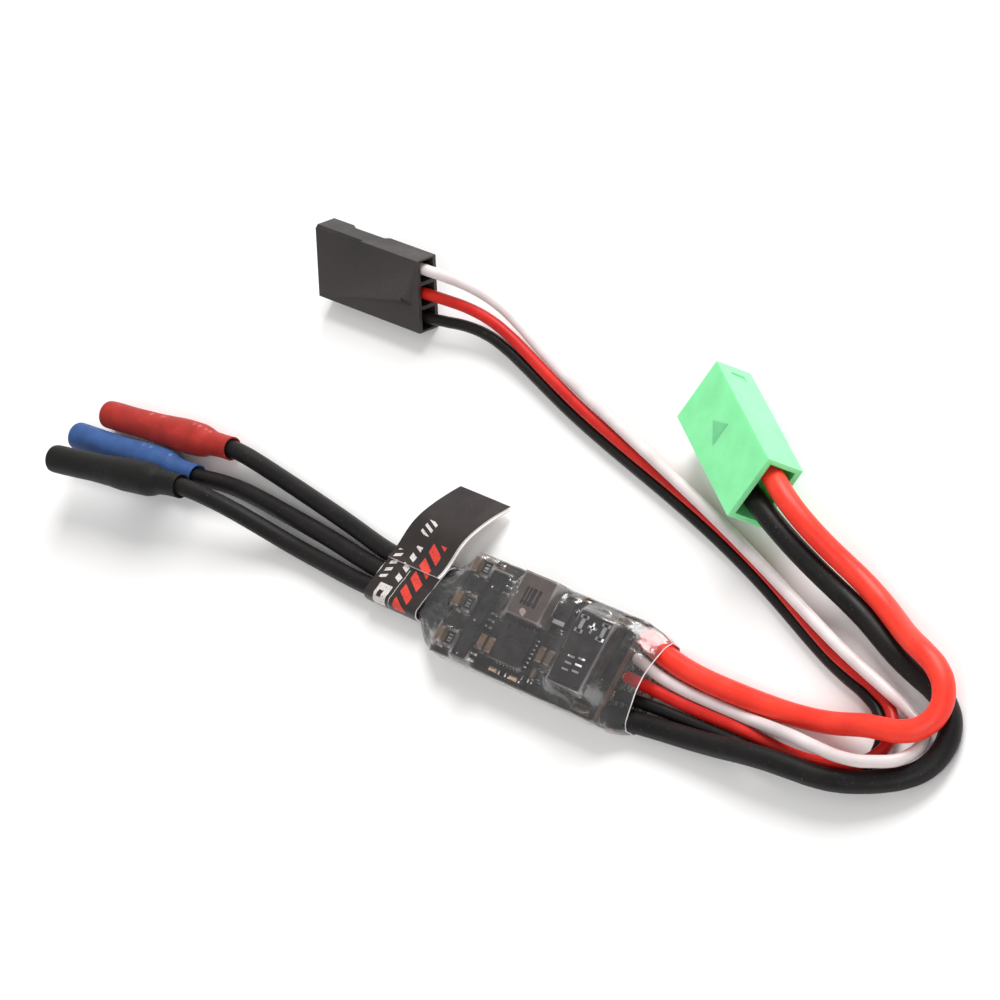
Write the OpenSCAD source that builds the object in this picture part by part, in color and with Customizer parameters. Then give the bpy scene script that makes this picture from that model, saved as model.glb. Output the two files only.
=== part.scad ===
// Small brushless motor speed controller: a populated circuit board in a clear shrink sleeve,
// with three motor leads, two battery leads and a three-wire servo ribbon.
// X runs along the board from the motor end to the supply end, Z is up, and the origin is the
// middle of the board's footprint on the sleeve's flat underside.

/* [Board] */
// Length of the circuit board
board_l = 21.5; // [21.4:0.1:22]
// Width of the circuit board
board_w = 10.3; // [10.2:0.1:10.4]
// Thickness of the circuit board
board_t = 0.8; // [0.6:0.1:0.8]
// Height of the board's underside over the table
board_z = 1.85; // [1.85:0.05:1.9]

/* [Shrink sleeve] */
// Thickness of the clear film
film_t = 0.15; // [0.1:0.01:0.15]
// Half the sleeve's width over the board
sleeve_half_w = 5.32; // [5.32:0.01:5.4]
// X of the sleeve's mouth at the supply end
sleeve_end_x = 14; // [13.5:0.1:14.5]
// Height of the film over the tallest parts
sleeve_top = 4.85; // [4.85:0.05:5.2]

/* [Flag label] */
// Thickness of the wrapped band
label_t = 0.15; // [0.1:0.01:0.15]
// Thickness of the folded flag, two layers of label
flag_t = 0.3; // [0.2:0.05:0.4]

/* [Leads] */
// Outer diameter of a battery lead
battery_od = 2.1; // [1.9:0.05:2.1]
// Outer diameter of a motor lead
motor_od = 1.8; // [1.6:0.05:1.8]
// Outer diameter of one servo wire
servo_od = 1.15; // [1:0.05:1.15]

/* [Bullet connectors] */
// Radius of the socket's bore, for a 2 mm bullet
socket_bore_r = 1; // [0.95:0.01:1.05]
// Outer radius of the socket
socket_r = 1.3; // [1.25:0.01:1.35]
// Depth of the socket's bore
socket_bore_l = 8; // [6:0.5:8]
// Length of one insulating sleeve
bullet_l = 18.5; // [18:0.5:19]
// Greatest radius of the insulating sleeve, over the solder joint
bullet_bump_r = 1.75; // [1.7:0.01:1.75]

/* [Battery plug] */
// Length of the housing
battery_plug_l = 15.2; // [15:0.1:16]
// Width of the housing
battery_plug_w = 6.8; // [6.6:0.1:7]
// Thickness of the housing
battery_plug_t = 4; // [3.9:0.1:4.2]
// Distance from the middle of the plug to each contact
contact_y = 1.6; // [1.6:0.01:1.65]

/* [Servo plug] */
// Length of the housing
servo_plug_l = 15; // [14.5:0.1:15.5]
// Width of the housing
servo_plug_w = 7.65; // [7.6:0.05:7.7]
// Thickness of the housing
servo_plug_t = 2.54; // [2.5:0.02:2.6]
// Distance between neighbouring contacts
servo_pitch = 2.54; // [2.5:0.01:2.54]

/* [Hidden] */

lead_sides = 8;
gap = 0.02;
board_top = board_z + board_t;
conductor_r = 0.6;
signal_conductor_r = 0.3;
pin_row_y = [3.0, 0, -3.0];

// Routes of the leads, from the board outwards. The last two points of each lie on the axis of
// the connector that the lead ends in.
motor_a = [[-11, 3, 1.25], [-15.5, 1.9, 1.25], [-22.5, 1.9, 1.25], [-28, 2.7, 1], [-36.5, 3.9, 0.95],
    [-43.6, 4.8, 1.2], [-48, 5.1, 1.75], [-53.4, 4.6, 1.75]];
motor_b = [[-11, 0, 1.25], [-15.5, 0, 1.25], [-22.5, 0, 1.25], [-29.5, 0.7, 1], [-38, 1.4, 0.95],
    [-46.2, 1.7, 1.2], [-50.5, 1.1, 1.75], [-55.9, 0.8, 1.75]];
motor_c = [[-11, -3, 1.25], [-15.5, -1.9, 1.25], [-22.5, -1.9, 1.25], [-29.5, -1.6, 1], [-35, -1.25, 1.2],
    [-42.5, -0.7, 3], [-49.2, -0.75, 4.35], [-54.5, -1.5, 4.35]];
battery_p = [[10.9, 3.95, 1.2], [14, 3.2, 1.2], [18, 2.7, 1.15], [23, 2.65, 1.1], [29.1, 2.9, 1.15],
    [34.9, 3.6, 1.95], [39.25, 4.4, 3.2], [43.15, 5.25, 3.4], [44.85, 7.2, 3.2], [44.7, 9.5, 3.4],
    [43.05, 11.25, 3.7], [40.5, 12.25, 3.55], [37.75, 13.15, 2.75], [34.35, 14.55, 1.8],
    [30.3, 16.2, 2.1], [26.4, 17.6, 4.1], [22.5, 19.4, 6], [19.4, 21.1, 6.1], [16.5, 22.7, 5.5]];
battery_n = [[10.9, -3.95, 1.2], [14.5, -3.4, 1.2], [19, -2.95, 1.3], [24, -2.5, 1.75],
    [28.95, -1.95, 2.4], [33.6, -1.6, 2.45], [37.45, -1.15, 2.25], [41.65, 0.45, 1.75],
    [44.9, 2.95, 1.25], [45.7, 6.05, 1.1], [44.15, 8.75, 1.1], [40.4, 10.25, 1.15], [36.35, 11.5, 1.1],
    [31.7, 13.4, 1.2], [27.1, 15, 2.5], [22.5, 16.8, 4.6], [18.2, 18.7, 5.1], [15.2, 20, 4.5]];
servo_s = [[10.9, 2, 1.25], [14.5, 1.3, 0.95], [19, 1.05, 0.7], [26, 1.05, 1], [32.9, 0.9, 3.3],
    [36.8, 0.8, 3.5], [40.2, 1.2, 3.65], [43.65, 3.2, 2.65], [43.35, 5.75, 1.15], [40.35, 7.25, 1.05],
    [37.35, 8.25, 2.1], [32, 9.8, 2.45], [20.9, 13.65, 2.4], [7.85, 17.9, 2.3], [-8, 22.6, 1.85],
    [-17.95, 25.9, 1.45], [-25.65, 28.45, 3.1], [-32.4, 28.35, 5.3], [-35.9, 28.35, 5.3]];
servo_p = [[10.9, 0.05, 1.25], [14.5, -0.05, 0.95], [19, -0.15, 0.65], [26, -0.15, 0.65], [32.2, -0.3, 1],
    [36, 0.2, 1.7], [38.95, 1.2, 1.9], [40.3, 2.95, 1.55], [40.15, 4.9, 1.15], [38.6, 6.75, 0.95],
    [35.65, 8.05, 1.25], [31.3, 9.15, 1.45], [20.85, 13.2, 1.3], [7.05, 17.5, 1.25], [-8.9, 21.6, 1.45],
    [-18.95, 24.9, 1.55], [-25.95, 26.7, 2.5], [-32.4, 26.5, 3.55], [-35.9, 26.5, 3.55]];
servo_n = [[10.9, -1.8, 1.25], [14.5, -1.5, 0.95], [19, -1.35, 0.62], [26, -1.35, 0.62], [32.55, -1.6, 0.62],
    [36.5, -0.95, 0.62], [38.65, 0.9, 0.62], [39.25, 2.95, 0.62], [38.75, 4.7, 0.62], [37.4, 6.15, 0.62],
    [34.9, 7.25, 0.62], [30.6, 8.45, 0.65], [20.3, 12.35, 0.62], [6.5, 16.65, 0.65], [-10.2, 20.95, 0.75],
    [-19.7, 24, 1.05], [-26.25, 25.3, 1.55], [-32.4, 24.65, 1.8], [-35.9, 24.65, 1.8]];

// Sizes of the parts on the board, and the middles of those that stand alone.
chip_0402 = [1, 0.5, 0.4];
chip_0603 = [1.6, 0.85, 0.85];
resistor_0805 = [2, 1.2, 0.5];
gate_driver_size = [1.25, 2, 0.85];
gate_driver_pin = [0.5, 0.26, 0.3];
gate_driver_pitch = 0.65;
microcontroller_at = [-1.3, -1.7];
microcontroller_side = 3.9;
microcontroller_h = 0.8;
inductor_at = [-0.9, 2.9];
inductor_side = 4.3;
inductor_h = 1.95;
bulk_capacitor_at = [7.3, 0.2];
bulk_capacitor_size = [4.3, 7.1, 1.75];
diode_at = [2.6, 2.8];
diode_size = [1.8, 2.8, 0.9];
transistor_size = [4.1, 2.7, 0.85];
transistor_pitch = 0.8;

// Places of the two plugs: middle, and turns about X, Y and Z.
battery_plug_at = [12.2, 23.4, 4.25];
battery_plug_turn = [18, -10, -29.5];
servo_plug_at = [-39.9, 26.5, 3.55];
servo_plug_turn = [43, 0, 0];

// The sleeve's outline at each station along X: x, half width, bottom, top, lower and upper corner
// radius, and slant, how far X grows for each millimetre of Y. The neck round the motor leads comes
// first, and the label is wrapped round it at the same slant.
neck_half_w = 2.97;
neck_bottom = label_t + 0.05;
neck_top = 2.4;
neck_x = [-21.7, -14.2];
slant = 0.25;
stations = [
    [neck_x[0], neck_half_w, neck_bottom, neck_top, 0.9, 1, slant],
    [neck_x[1], neck_half_w, neck_bottom, neck_top, 0.9, 1, slant],
    [-12.8, 4.3, 0.05, 3.1, 0.7, 1, 0.12],
    [-11.3, sleeve_half_w, 0, 3.7, 0.45, 0.8, 0],
    [-5, sleeve_half_w, 0, 3.8, 0.45, 0.8, 0],
    [-3.4, sleeve_half_w, 0, sleeve_top, 0.45, 0.8, 0],
    [9.8, sleeve_half_w, 0, sleeve_top, 0.45, 0.8, 0],
    [11.4, sleeve_half_w, 0, 3.4, 0.45, 0.8, 0],
    [sleeve_end_x, 4.6, 0, 2.6, 0.45, 0.8, 0]];

function unit(v) = v / norm(v);

function tangent(path, i) = unit(path[min(i + 1, len(path) - 1)] - path[max(i - 1, 0)]);

// One closed ring of points round a path's point, square to the path.
function lead_ring(path, i, r) =
    let (t = tangent(path, i), s = unit(cross(t, [0, 0, 1])), u = cross(t, s))
    [for (k = [0 : lead_sides - 1])
        path[i] + r * (cos(360 * k / lead_sides) * s + sin(360 * k / lead_sides) * u)];

// A rounded box outline at a station, four points a corner.
function station_ring(st, inset) =
    [for (c = [0 : 3])
        let (r = (c < 2 ? st[5] : st[4]) - inset,
            cy = (c == 0 || c == 3 ? 1 : -1) * (st[1] - inset - r),
            cz = c < 2 ? st[3] - inset - r : st[2] + inset + r)
        for (k = [0 : 3])
            let (y = cy + r * cos(90 * c + 30 * k))
            [st[0] + st[6] * y, y, cz + r * sin(90 * c + 30 * k)]];

// The two triangles between neighbouring rings of m points, at point k of ring i.
function wall(m, i, k, first) =
    let (a = first + i * m + k, b = first + i * m + (k + 1) % m)
    [[a, b + m, b], [a, a + m, b + m]];

function flipped(face) = [face[0], face[2], face[1]];

// A solid through matching rings, with flat ends.
module skin(rings) {
    n = len(rings);
    m = len(rings[0]);
    walls = [for (i = [0 : n - 2], k = [0 : m - 1]) each wall(m, i, k, 0)];
    start = [for (k = [0 : m - 1]) k];
    end = [for (k = [m - 1 : -1 : 0]) (n - 1) * m + k];
    polyhedron(points = [for (r = rings) each r], faces = concat(walls, [start, end]), convexity = 10);
}

// A closed tube through the path's points.
module lead(path, d) {
    skin([for (i = [0 : len(path) - 1]) lead_ring(path, i, d / 2)]);
}

// A thin-walled tube between matching outer and inner rings, open at both ends.
module tube_shell(outer, inner) {
    n = len(outer);
    m = len(outer[0]);
    inside = n * m;
    points = concat([for (r = outer) each r], [for (r = inner) each r]);
    outer_walls = [for (i = [0 : n - 2], k = [0 : m - 1]) each wall(m, i, k, 0)];
    inner_walls = [for (i = [0 : n - 2], k = [0 : m - 1], f = wall(m, i, k, inside)) flipped(f)];
    last = (n - 1) * m;
    start_rim = [for (k = [0 : m - 1]) let (j = (k + 1) % m)
        each [[k, j, inside + j], [k, inside + j, inside + k]]];
    end_rim = [for (k = [0 : m - 1]) let (j = (k + 1) % m)
        each [[last + k, inside + last + j, last + j], [last + k, inside + last + k, inside + last + j]]];
    polyhedron(points = points, faces = concat(outer_walls, inner_walls, start_rim, end_rim),
        convexity = 10);
}

// A block centred on x and y, standing on the board's top.
module on_board(x, y, size, lift = gap) {
    translate([x, y, board_top + lift + size[2] / 2]) cube(size, center = true);
}

// A block centred on x and y, hanging under the board.
module under_board(x, y, size, drop = gap) {
    translate([x, y, board_z - drop - size[2] / 2]) cube(size, center = true);
}

// A chip of a size given as length, width and height, with a raised end cap at each end. Its
// length lies along Y when along_y is true.
module two_ended_chip(x, y, size, cap, along_y) {
    l = size[0];
    w = size[1];
    h = size[2];
    body = along_y ? [w - 0.06, l - 0.1, h - 0.04] : [l - 0.1, w - 0.06, h - 0.04];
    end = along_y ? [w, cap, h] : [cap, w, h];
    step = along_y ? [0, (l - cap) / 2] : [(l - cap) / 2, 0];
    on_board(x, y, body, gap + 0.02);
    on_board(x - step[0], y - step[1], end);
    on_board(x + step[0], y + step[1], end);
}

module shrink_sleeve() {
    color([0.8, 0.8, 0.82, 0.35])
        tube_shell([for (st = stations) station_ring(st, 0)], [for (st = stations) station_ring(st, film_t)]);
}

// The band lies a little inside the neck's ends, so that the film shows past it. The flag's lower
// line goes in steps of Y and Z.
band_x = [neck_x[0] + 0.2, neck_x[1] - 0.1];
flag_start = [2.1, neck_top];
flag_line = [[0, 0], [1.3, 0.15], [1.3, 0.2], [1.2, -0.05], [1.5, -0.45], [1.5, -0.7], [1.5, -0.9]];

function along(steps, i) = i == 0 ? steps[0] : along(steps, i - 1) + steps[i];

module flag_label() {
    band = [for (x = band_x) [x, neck_half_w, neck_bottom, neck_top, 0.9, 1, slant]];
    grown = [for (b = band) [b[0], b[1] + label_t, b[2] - label_t, b[3] + label_t, b[4] + label_t,
        b[5] + label_t, slant]];
    low = [for (i = [0 : len(flag_line) - 1]) flag_start + along(flag_line, i)];
    high = [for (i = [len(low) - 1 : -1 : 0]) low[i] + [0.03, flag_t]];
    color([0.16, 0.13, 0.12]) {
        tube_shell([for (g = grown) station_ring(g, 0)], [for (b = band) station_ring(b, 0)]);
        skin([for (x = band_x) [for (p = concat(low, high)) [x + slant * p[0], p[0], p[1]]]]);
    }
}

module circuit_board() {
    color([0.2, 0.17, 0.16]) translate([0, 0, board_z + board_t / 2])
        cube([board_l, board_w, board_t], center = true);
}

// Column of three parts along the motor edge of the board, one to each phase.
phase_y = [3.95, 0.25, -3.45];

module phase_capacitors() {
    color([0.56, 0.46, 0.38]) for (y = phase_y) two_ended_chip(-10.05, y, chip_0603, 0.35, true);
}

module phase_resistors() {
    color([0.2, 0.19, 0.19]) for (y = phase_y) two_ended_chip(-8.8, y, resistor_0805, 0.4, true);
}

module gate_driver(x, y) {
    on_board(x, y, gate_driver_size, 0.12);
    for (side = [-1, 1], row = [-1 : 1])
        on_board(x + side * 0.82, y + row * gate_driver_pitch, gate_driver_pin);
}

module gate_drivers() {
    color([0.14, 0.13, 0.13]) for (y = [3.1, -0.35, -3.9]) gate_driver(-6.4, y);
}

module microcontroller() {
    pads_l = microcontroller_side + 0.16;
    pads_w = microcontroller_side - 0.8;
    color([0.12, 0.12, 0.12]) {
        on_board(microcontroller_at[0], microcontroller_at[1], [microcontroller_side, microcontroller_side,
            microcontroller_h]);
        for (pads = [[pads_l, pads_w, 0.2], [pads_w, pads_l, 0.2]])
            on_board(microcontroller_at[0], microcontroller_at[1], pads);
    }
}

module power_inductor() {
    color([0.48, 0.42, 0.4]) {
        on_board(inductor_at[0], inductor_at[1], [inductor_side, inductor_side, inductor_h]);
        on_board(inductor_at[0], inductor_at[1], [inductor_side + 0.2, 1.6, 0.4]);
    }
}

module bulk_capacitor() {
    color([0.22, 0.2, 0.2]) {
        on_board(bulk_capacitor_at[0], bulk_capacitor_at[1], bulk_capacitor_size, 0.15);
        for (end = [-1, 1])
            on_board(bulk_capacitor_at[0], bulk_capacitor_at[1] + end * bulk_capacitor_size[1] / 2,
                [2.4, 0.3, 0.9]);
    }
}

module rectifier_diode() {
    color([0.15, 0.14, 0.14]) {
        on_board(diode_at[0], diode_at[1], diode_size, 0.1);
        for (end = [-1, 1]) on_board(diode_at[0], diode_at[1] + end * 1.6, [0.9, 0.6, 0.25]);
    }
}

module decoupling_capacitors() {
    color([0.56, 0.46, 0.38]) for (x = [-4.9, -3.75, 2.3, 3.45])
        two_ended_chip(x, x < 0 ? -2.6 : -1.5, chip_0603, 0.35, true);
}

module small_passives() {
    color([0.5, 0.45, 0.42]) {
        for (p = [[-2.4, -4.5], [-1.1, -4.5], [0.3, -4.5], [1.7, -4.1]])
            two_ended_chip(p[0], p[1], chip_0402, 0.22, false);
        for (p = [[2.2, -3.3], [3.1, -3.3], [-4.6, 0.6], [-4.6, 3], [4, 0.4]])
            two_ended_chip(p[0], p[1], chip_0402, 0.22, true);
    }
}

module power_transistors() {
    color([0.13, 0.13, 0.13]) for (x = [-5, 0.6], y = pin_row_y) {
        under_board(x, y, transistor_size);
        for (row = [-1 : 1])
            under_board(x, y + row * transistor_pitch, [transistor_size[0] + 0.6, 0.35, 0.25]);
    }
}

// A bare conductor under the board with the solder that holds it to its pad.
module solder_joint(start, inward, r, l) {
    pad_w = 2.6 * r;
    drop = board_z - start[2];
    translate(start) rotate([0, 90 * inward, 0]) cylinder(r = r, h = l, $fn = 32);
    translate([start[0] + inward * (l / 2 + 0.2), start[1], board_z - drop / 2])
        cube([l - 0.6, pad_w, drop], center = true);
}

module motor_solder_joints() {
    color([0.78, 0.78, 0.76]) for (path = [motor_a, motor_b, motor_c])
        solder_joint(path[0], 1, conductor_r, 2.6);
}

module supply_solder_joints() {
    color([0.78, 0.78, 0.76]) for (path = [battery_p, battery_n])
        solder_joint(path[0], -1, conductor_r, 2.8);
}

module signal_solder_joints() {
    color([0.78, 0.78, 0.76]) for (path = [servo_s, servo_p, servo_n])
        solder_joint(path[0], -1, signal_conductor_r, 1.8);
}

module motor_lead_a() { color([0.12, 0.11, 0.11]) lead(motor_a, motor_od); }

module motor_lead_b() { color([0.12, 0.11, 0.11]) lead(motor_b, motor_od); }

module motor_lead_c() { color([0.12, 0.11, 0.11]) lead(motor_c, motor_od); }

module battery_lead_positive() { color([0.93, 0.2, 0.13]) lead(battery_p, battery_od); }

module battery_lead_negative() { color([0.12, 0.11, 0.11]) lead(battery_n, battery_od); }

module servo_lead_signal() { color([0.93, 0.91, 0.9]) lead(servo_s, servo_od); }

module servo_lead_positive() { color([0.85, 0.16, 0.12]) lead(servo_p, servo_od); }

module servo_lead_negative() { color([0.12, 0.11, 0.11]) lead(servo_n, servo_od); }

// Puts a child that points along +Z on the axis that a motor lead ends with, with z = 0 where
// the insulating sleeve's tail starts.
module at_bullet(path) {
    tail = path[len(path) - 2];
    step = path[len(path) - 1] - tail;
    translate(tail) rotate([0, 90, atan2(step[1], step[0])]) children();
}

socket_start = 5.44;
socket_recess = 0.2;
solder_cup_l = 3;

module bullet_socket(path) {
    l = bullet_l - socket_recess - socket_start;
    color([0.85, 0.68, 0.32]) at_bullet(path) translate([0, 0, socket_start]) difference() {
        cylinder(r = socket_r, h = l, $fn = 48);
        translate([0, 0, l - socket_bore_l]) cylinder(r = socket_bore_r, h = socket_bore_l + 1, $fn = 48);
        translate([0, 0, -1]) cylinder(r = 0.75, h = solder_cup_l + 1, $fn = 48);
    }
}

module bullet_sleeve(path, tint) {
    fit_r = socket_r + gap;
    tail_bore_r = motor_od / 2 + 0.1;
    color(tint) at_bullet(path) rotate_extrude($fn = 48) polygon([[tail_bore_r, 0], [1.22, 0], [1.27, 2.8],
        [1.55, 3.6], [bullet_bump_r, 4.6], [bullet_bump_r, 8.2], [1.56, 10], [1.48, 12], [1.48, bullet_l],
        [fit_r, bullet_l], [fit_r, socket_start - gap], [tail_bore_r, socket_start - gap]]);
}

module bullet_socket_a() { bullet_socket(motor_a); }

module bullet_socket_b() { bullet_socket(motor_b); }

module bullet_socket_c() { bullet_socket(motor_c); }

module bullet_sleeve_a() { bullet_sleeve(motor_a, [0.72, 0.23, 0.2]); }

module bullet_sleeve_b() { bullet_sleeve(motor_b, [0.25, 0.37, 0.6]); }

module bullet_sleeve_c() { bullet_sleeve(motor_c, [0.17, 0.16, 0.16]); }

module at_battery_plug() { translate(battery_plug_at) rotate(battery_plug_turn) children(); }

contact_r = 1.3;
contact_l = 11.4;
contact_bore_l = 8;
contact_mouth_x = 0.4 - battery_plug_l / 2;
pocket_depth = battery_plug_l / 2 - (contact_mouth_x + contact_l);

// A flat closed outline with its corners cut back by c.
function cut_corners(l, w, c) =
    [[-l / 2 + c, -w / 2], [l / 2 - c, -w / 2], [l / 2, -w / 2 + c], [l / 2, w / 2 - c],
        [l / 2 - c, w / 2], [-l / 2 + c, w / 2], [-l / 2, w / 2 - c], [-l / 2, -w / 2 + c]];

module battery_plug_housing() {
    mark = [[-2.6, 0], [-0.4, 1.3], [-0.4, -1.3]];
    color([0.5, 0.88, 0.6]) at_battery_plug() {
        difference() {
            rotate([0, 90, 0]) translate([0, 0, -battery_plug_l / 2]) linear_extrude(height = battery_plug_l)
                polygon(cut_corners(battery_plug_t, battery_plug_w, 0.25));
            translate([battery_plug_l / 2 - pocket_depth / 2 + 0.5, 0, 0])
                cube([pocket_depth + 1, 5.8, 2.8], center = true);
            for (side = [-1, 1]) translate([-battery_plug_l / 2 - 1, side * contact_y, 0]) rotate([0, 90, 0])
                cylinder(r = contact_r + gap, h = battery_plug_l + 1, $fn = 48);
        }
        translate([0, 0, battery_plug_t / 2]) linear_extrude(height = 0.12) polygon(mark);
    }
}

module battery_plug_contacts() {
    color([0.85, 0.68, 0.32]) at_battery_plug() for (side = [-1, 1])
        translate([contact_mouth_x, side * contact_y, 0]) rotate([0, 90, 0]) difference() {
            cylinder(r = contact_r, h = contact_l, $fn = 48);
            translate([0, 0, -1]) cylinder(r = 1, h = contact_bore_l + 1, $fn = 48);
            translate([0, 0, contact_l - 2.5]) cylinder(r = 0.75, h = 3.5, $fn = 48);
        }
}

module at_servo_plug() { translate(servo_plug_at) rotate(servo_plug_turn) children(); }

servo_front_wall = 2;
cavity = [2.2, 1.7];
terminal_l = 6;
crimp_l = 3.3;

// Outline of the keying notch in the housing's narrow side, from that side's face inwards.
notch = [[-4.5, 0], [-3.5, -0.5], [-1.5, -0.28], [-0.1, -0.26], [0.9, 0], [0.9, 0.5], [-4.5, 0.5]];
notch_w = 0.4;

module servo_plug_housing() {
    cavity_l = servo_plug_l - servo_front_wall;
    color([0.13, 0.12, 0.12]) at_servo_plug() difference() {
        cube([servo_plug_l, servo_plug_w, servo_plug_t], center = true);
        for (row = [-1 : 1]) translate([0, row * servo_pitch, 0]) {
            translate([servo_front_wall / 2 + 0.5, 0, 0])
                cube([cavity_l + 1, cavity[0], cavity[1]], center = true);
            translate([-servo_plug_l / 2, 0, 0]) cube([servo_front_wall * 2 + 1, 1.1, 1.1], center = true);
            translate([2.2, 0, -servo_plug_t / 2]) cube([2.6, 1.5, 1.2], center = true);
        }
        translate([0, servo_plug_w / 2, -servo_plug_t / 2 - 0.5]) linear_extrude(height = notch_w + 0.5)
            polygon(notch);
        translate([-servo_plug_l / 2, servo_plug_w / 2, servo_plug_t / 2]) rotate([45, 0, 0])
            cube([13.6, 0.45, 0.45], center = true);
    }
}

module servo_plug_terminals() {
    start_x = -servo_plug_l / 2 + servo_front_wall + 0.1;
    color([0.85, 0.8, 0.62]) at_servo_plug() for (row = [-1 : 1]) translate([start_x, row * servo_pitch, 0])
        union() {
            difference() {
                translate([terminal_l / 2, 0, 0]) cube([terminal_l, 1.8, 1.5], center = true);
                translate([terminal_l / 2 - 1, 0, 0]) cube([terminal_l, 0.9, 0.9], center = true);
            }
            translate([terminal_l - gap, 0, 0]) rotate([0, 90, 0]) cylinder(r = 0.65, h = crimp_l, $fn = 32);
        }
}

shrink_sleeve();
flag_label();
circuit_board();
phase_capacitors();
phase_resistors();
gate_drivers();
microcontroller();
power_inductor();
bulk_capacitor();
rectifier_diode();
decoupling_capacitors();
small_passives();
power_transistors();
motor_solder_joints();
supply_solder_joints();
signal_solder_joints();
motor_lead_a();
motor_lead_b();
motor_lead_c();
bullet_socket_a();
bullet_socket_b();
bullet_socket_c();
bullet_sleeve_a();
bullet_sleeve_b();
bullet_sleeve_c();
battery_lead_positive();
battery_lead_negative();
battery_plug_housing();
battery_plug_contacts();
servo_lead_signal();
servo_lead_positive();
servo_lead_negative();
servo_plug_housing();
servo_plug_terminals();
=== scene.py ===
"""A small brushless motor speed controller: a populated circuit board in a clear shrink sleeve,
with bullet-ended motor leads, a battery plug on silicone leads and a servo plug on a ribbon.
Shapes are worked out in millimetres in the row frame, and turned into metres as they are made."""
import random
from math import atan2, cos, exp, pi, radians, sin

import bmesh
import bpy
import numpy as np
from mathutils import Matrix, Vector, noise


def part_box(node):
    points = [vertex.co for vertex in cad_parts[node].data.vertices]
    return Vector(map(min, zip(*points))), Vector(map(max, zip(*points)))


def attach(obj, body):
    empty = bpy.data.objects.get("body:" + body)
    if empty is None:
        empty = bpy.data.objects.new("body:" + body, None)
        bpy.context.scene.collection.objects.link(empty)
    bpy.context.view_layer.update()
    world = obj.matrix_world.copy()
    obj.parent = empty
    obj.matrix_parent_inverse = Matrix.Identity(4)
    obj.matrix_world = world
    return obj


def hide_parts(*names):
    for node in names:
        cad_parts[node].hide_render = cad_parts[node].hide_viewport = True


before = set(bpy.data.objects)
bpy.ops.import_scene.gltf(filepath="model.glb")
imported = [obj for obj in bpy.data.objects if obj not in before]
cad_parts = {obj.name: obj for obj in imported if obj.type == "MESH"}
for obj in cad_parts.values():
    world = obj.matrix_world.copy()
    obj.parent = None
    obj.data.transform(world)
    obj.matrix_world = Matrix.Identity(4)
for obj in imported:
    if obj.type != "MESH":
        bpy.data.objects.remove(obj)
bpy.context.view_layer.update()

MM = 0.001
TO_METRES = Matrix.Scale(MM, 4)


def box_mm(node):
    """The lowest and highest corners of a CAD node and its middle, in millimetres."""
    low, high = (Vector(corner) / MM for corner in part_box(node))
    return low, high, (low + high) / 2


def new_object(name, data):
    thing = bpy.data.objects.new(name, data)
    bpy.context.scene.collection.objects.link(thing)
    return thing


def turns(count):
    """Evenly spaced angles once round a circle."""
    return [2 * pi * k / count for k in range(count)]


# ---------------------------------------------------------------- camera

CAMERA_PLACE = (261.5, -35.2, 303.3)
CAMERA_RIGHT = Vector((0.6934, 0.4676, -0.5483))
CAMERA_BACK = Vector((0.6686, -0.1117, 0.7352))
CAMERA_LENS = 155.5
CAMERA_SENSOR = 36.0
CAMERA_NEAR = 0.01


def add_camera():
    data = bpy.data.cameras.new("camera")
    data.lens = CAMERA_LENS
    data.sensor_width = CAMERA_SENSOR
    data.clip_start = CAMERA_NEAR
    camera = new_object("camera", data)
    back = CAMERA_BACK.normalized()
    up = back.cross(CAMERA_RIGHT).normalized()
    turn = Matrix((up.cross(back), up, back)).transposed().to_4x4()
    camera.matrix_world = Matrix.Translation(Vector(CAMERA_PLACE) * MM) @ turn
    bpy.context.scene.camera = camera


add_camera()


# ---------------------------------------------------------------- materials

def srgb(code):
    """A linear colour from a six-digit code."""
    channels = [int(code[i:i + 2], 16) / 255 for i in (0, 2, 4)]
    linear = [c / 12.92 if c <= 0.04045 else ((c + 0.055) / 1.055) ** 2.4 for c in channels]
    return (*linear, 1.0)


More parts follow.
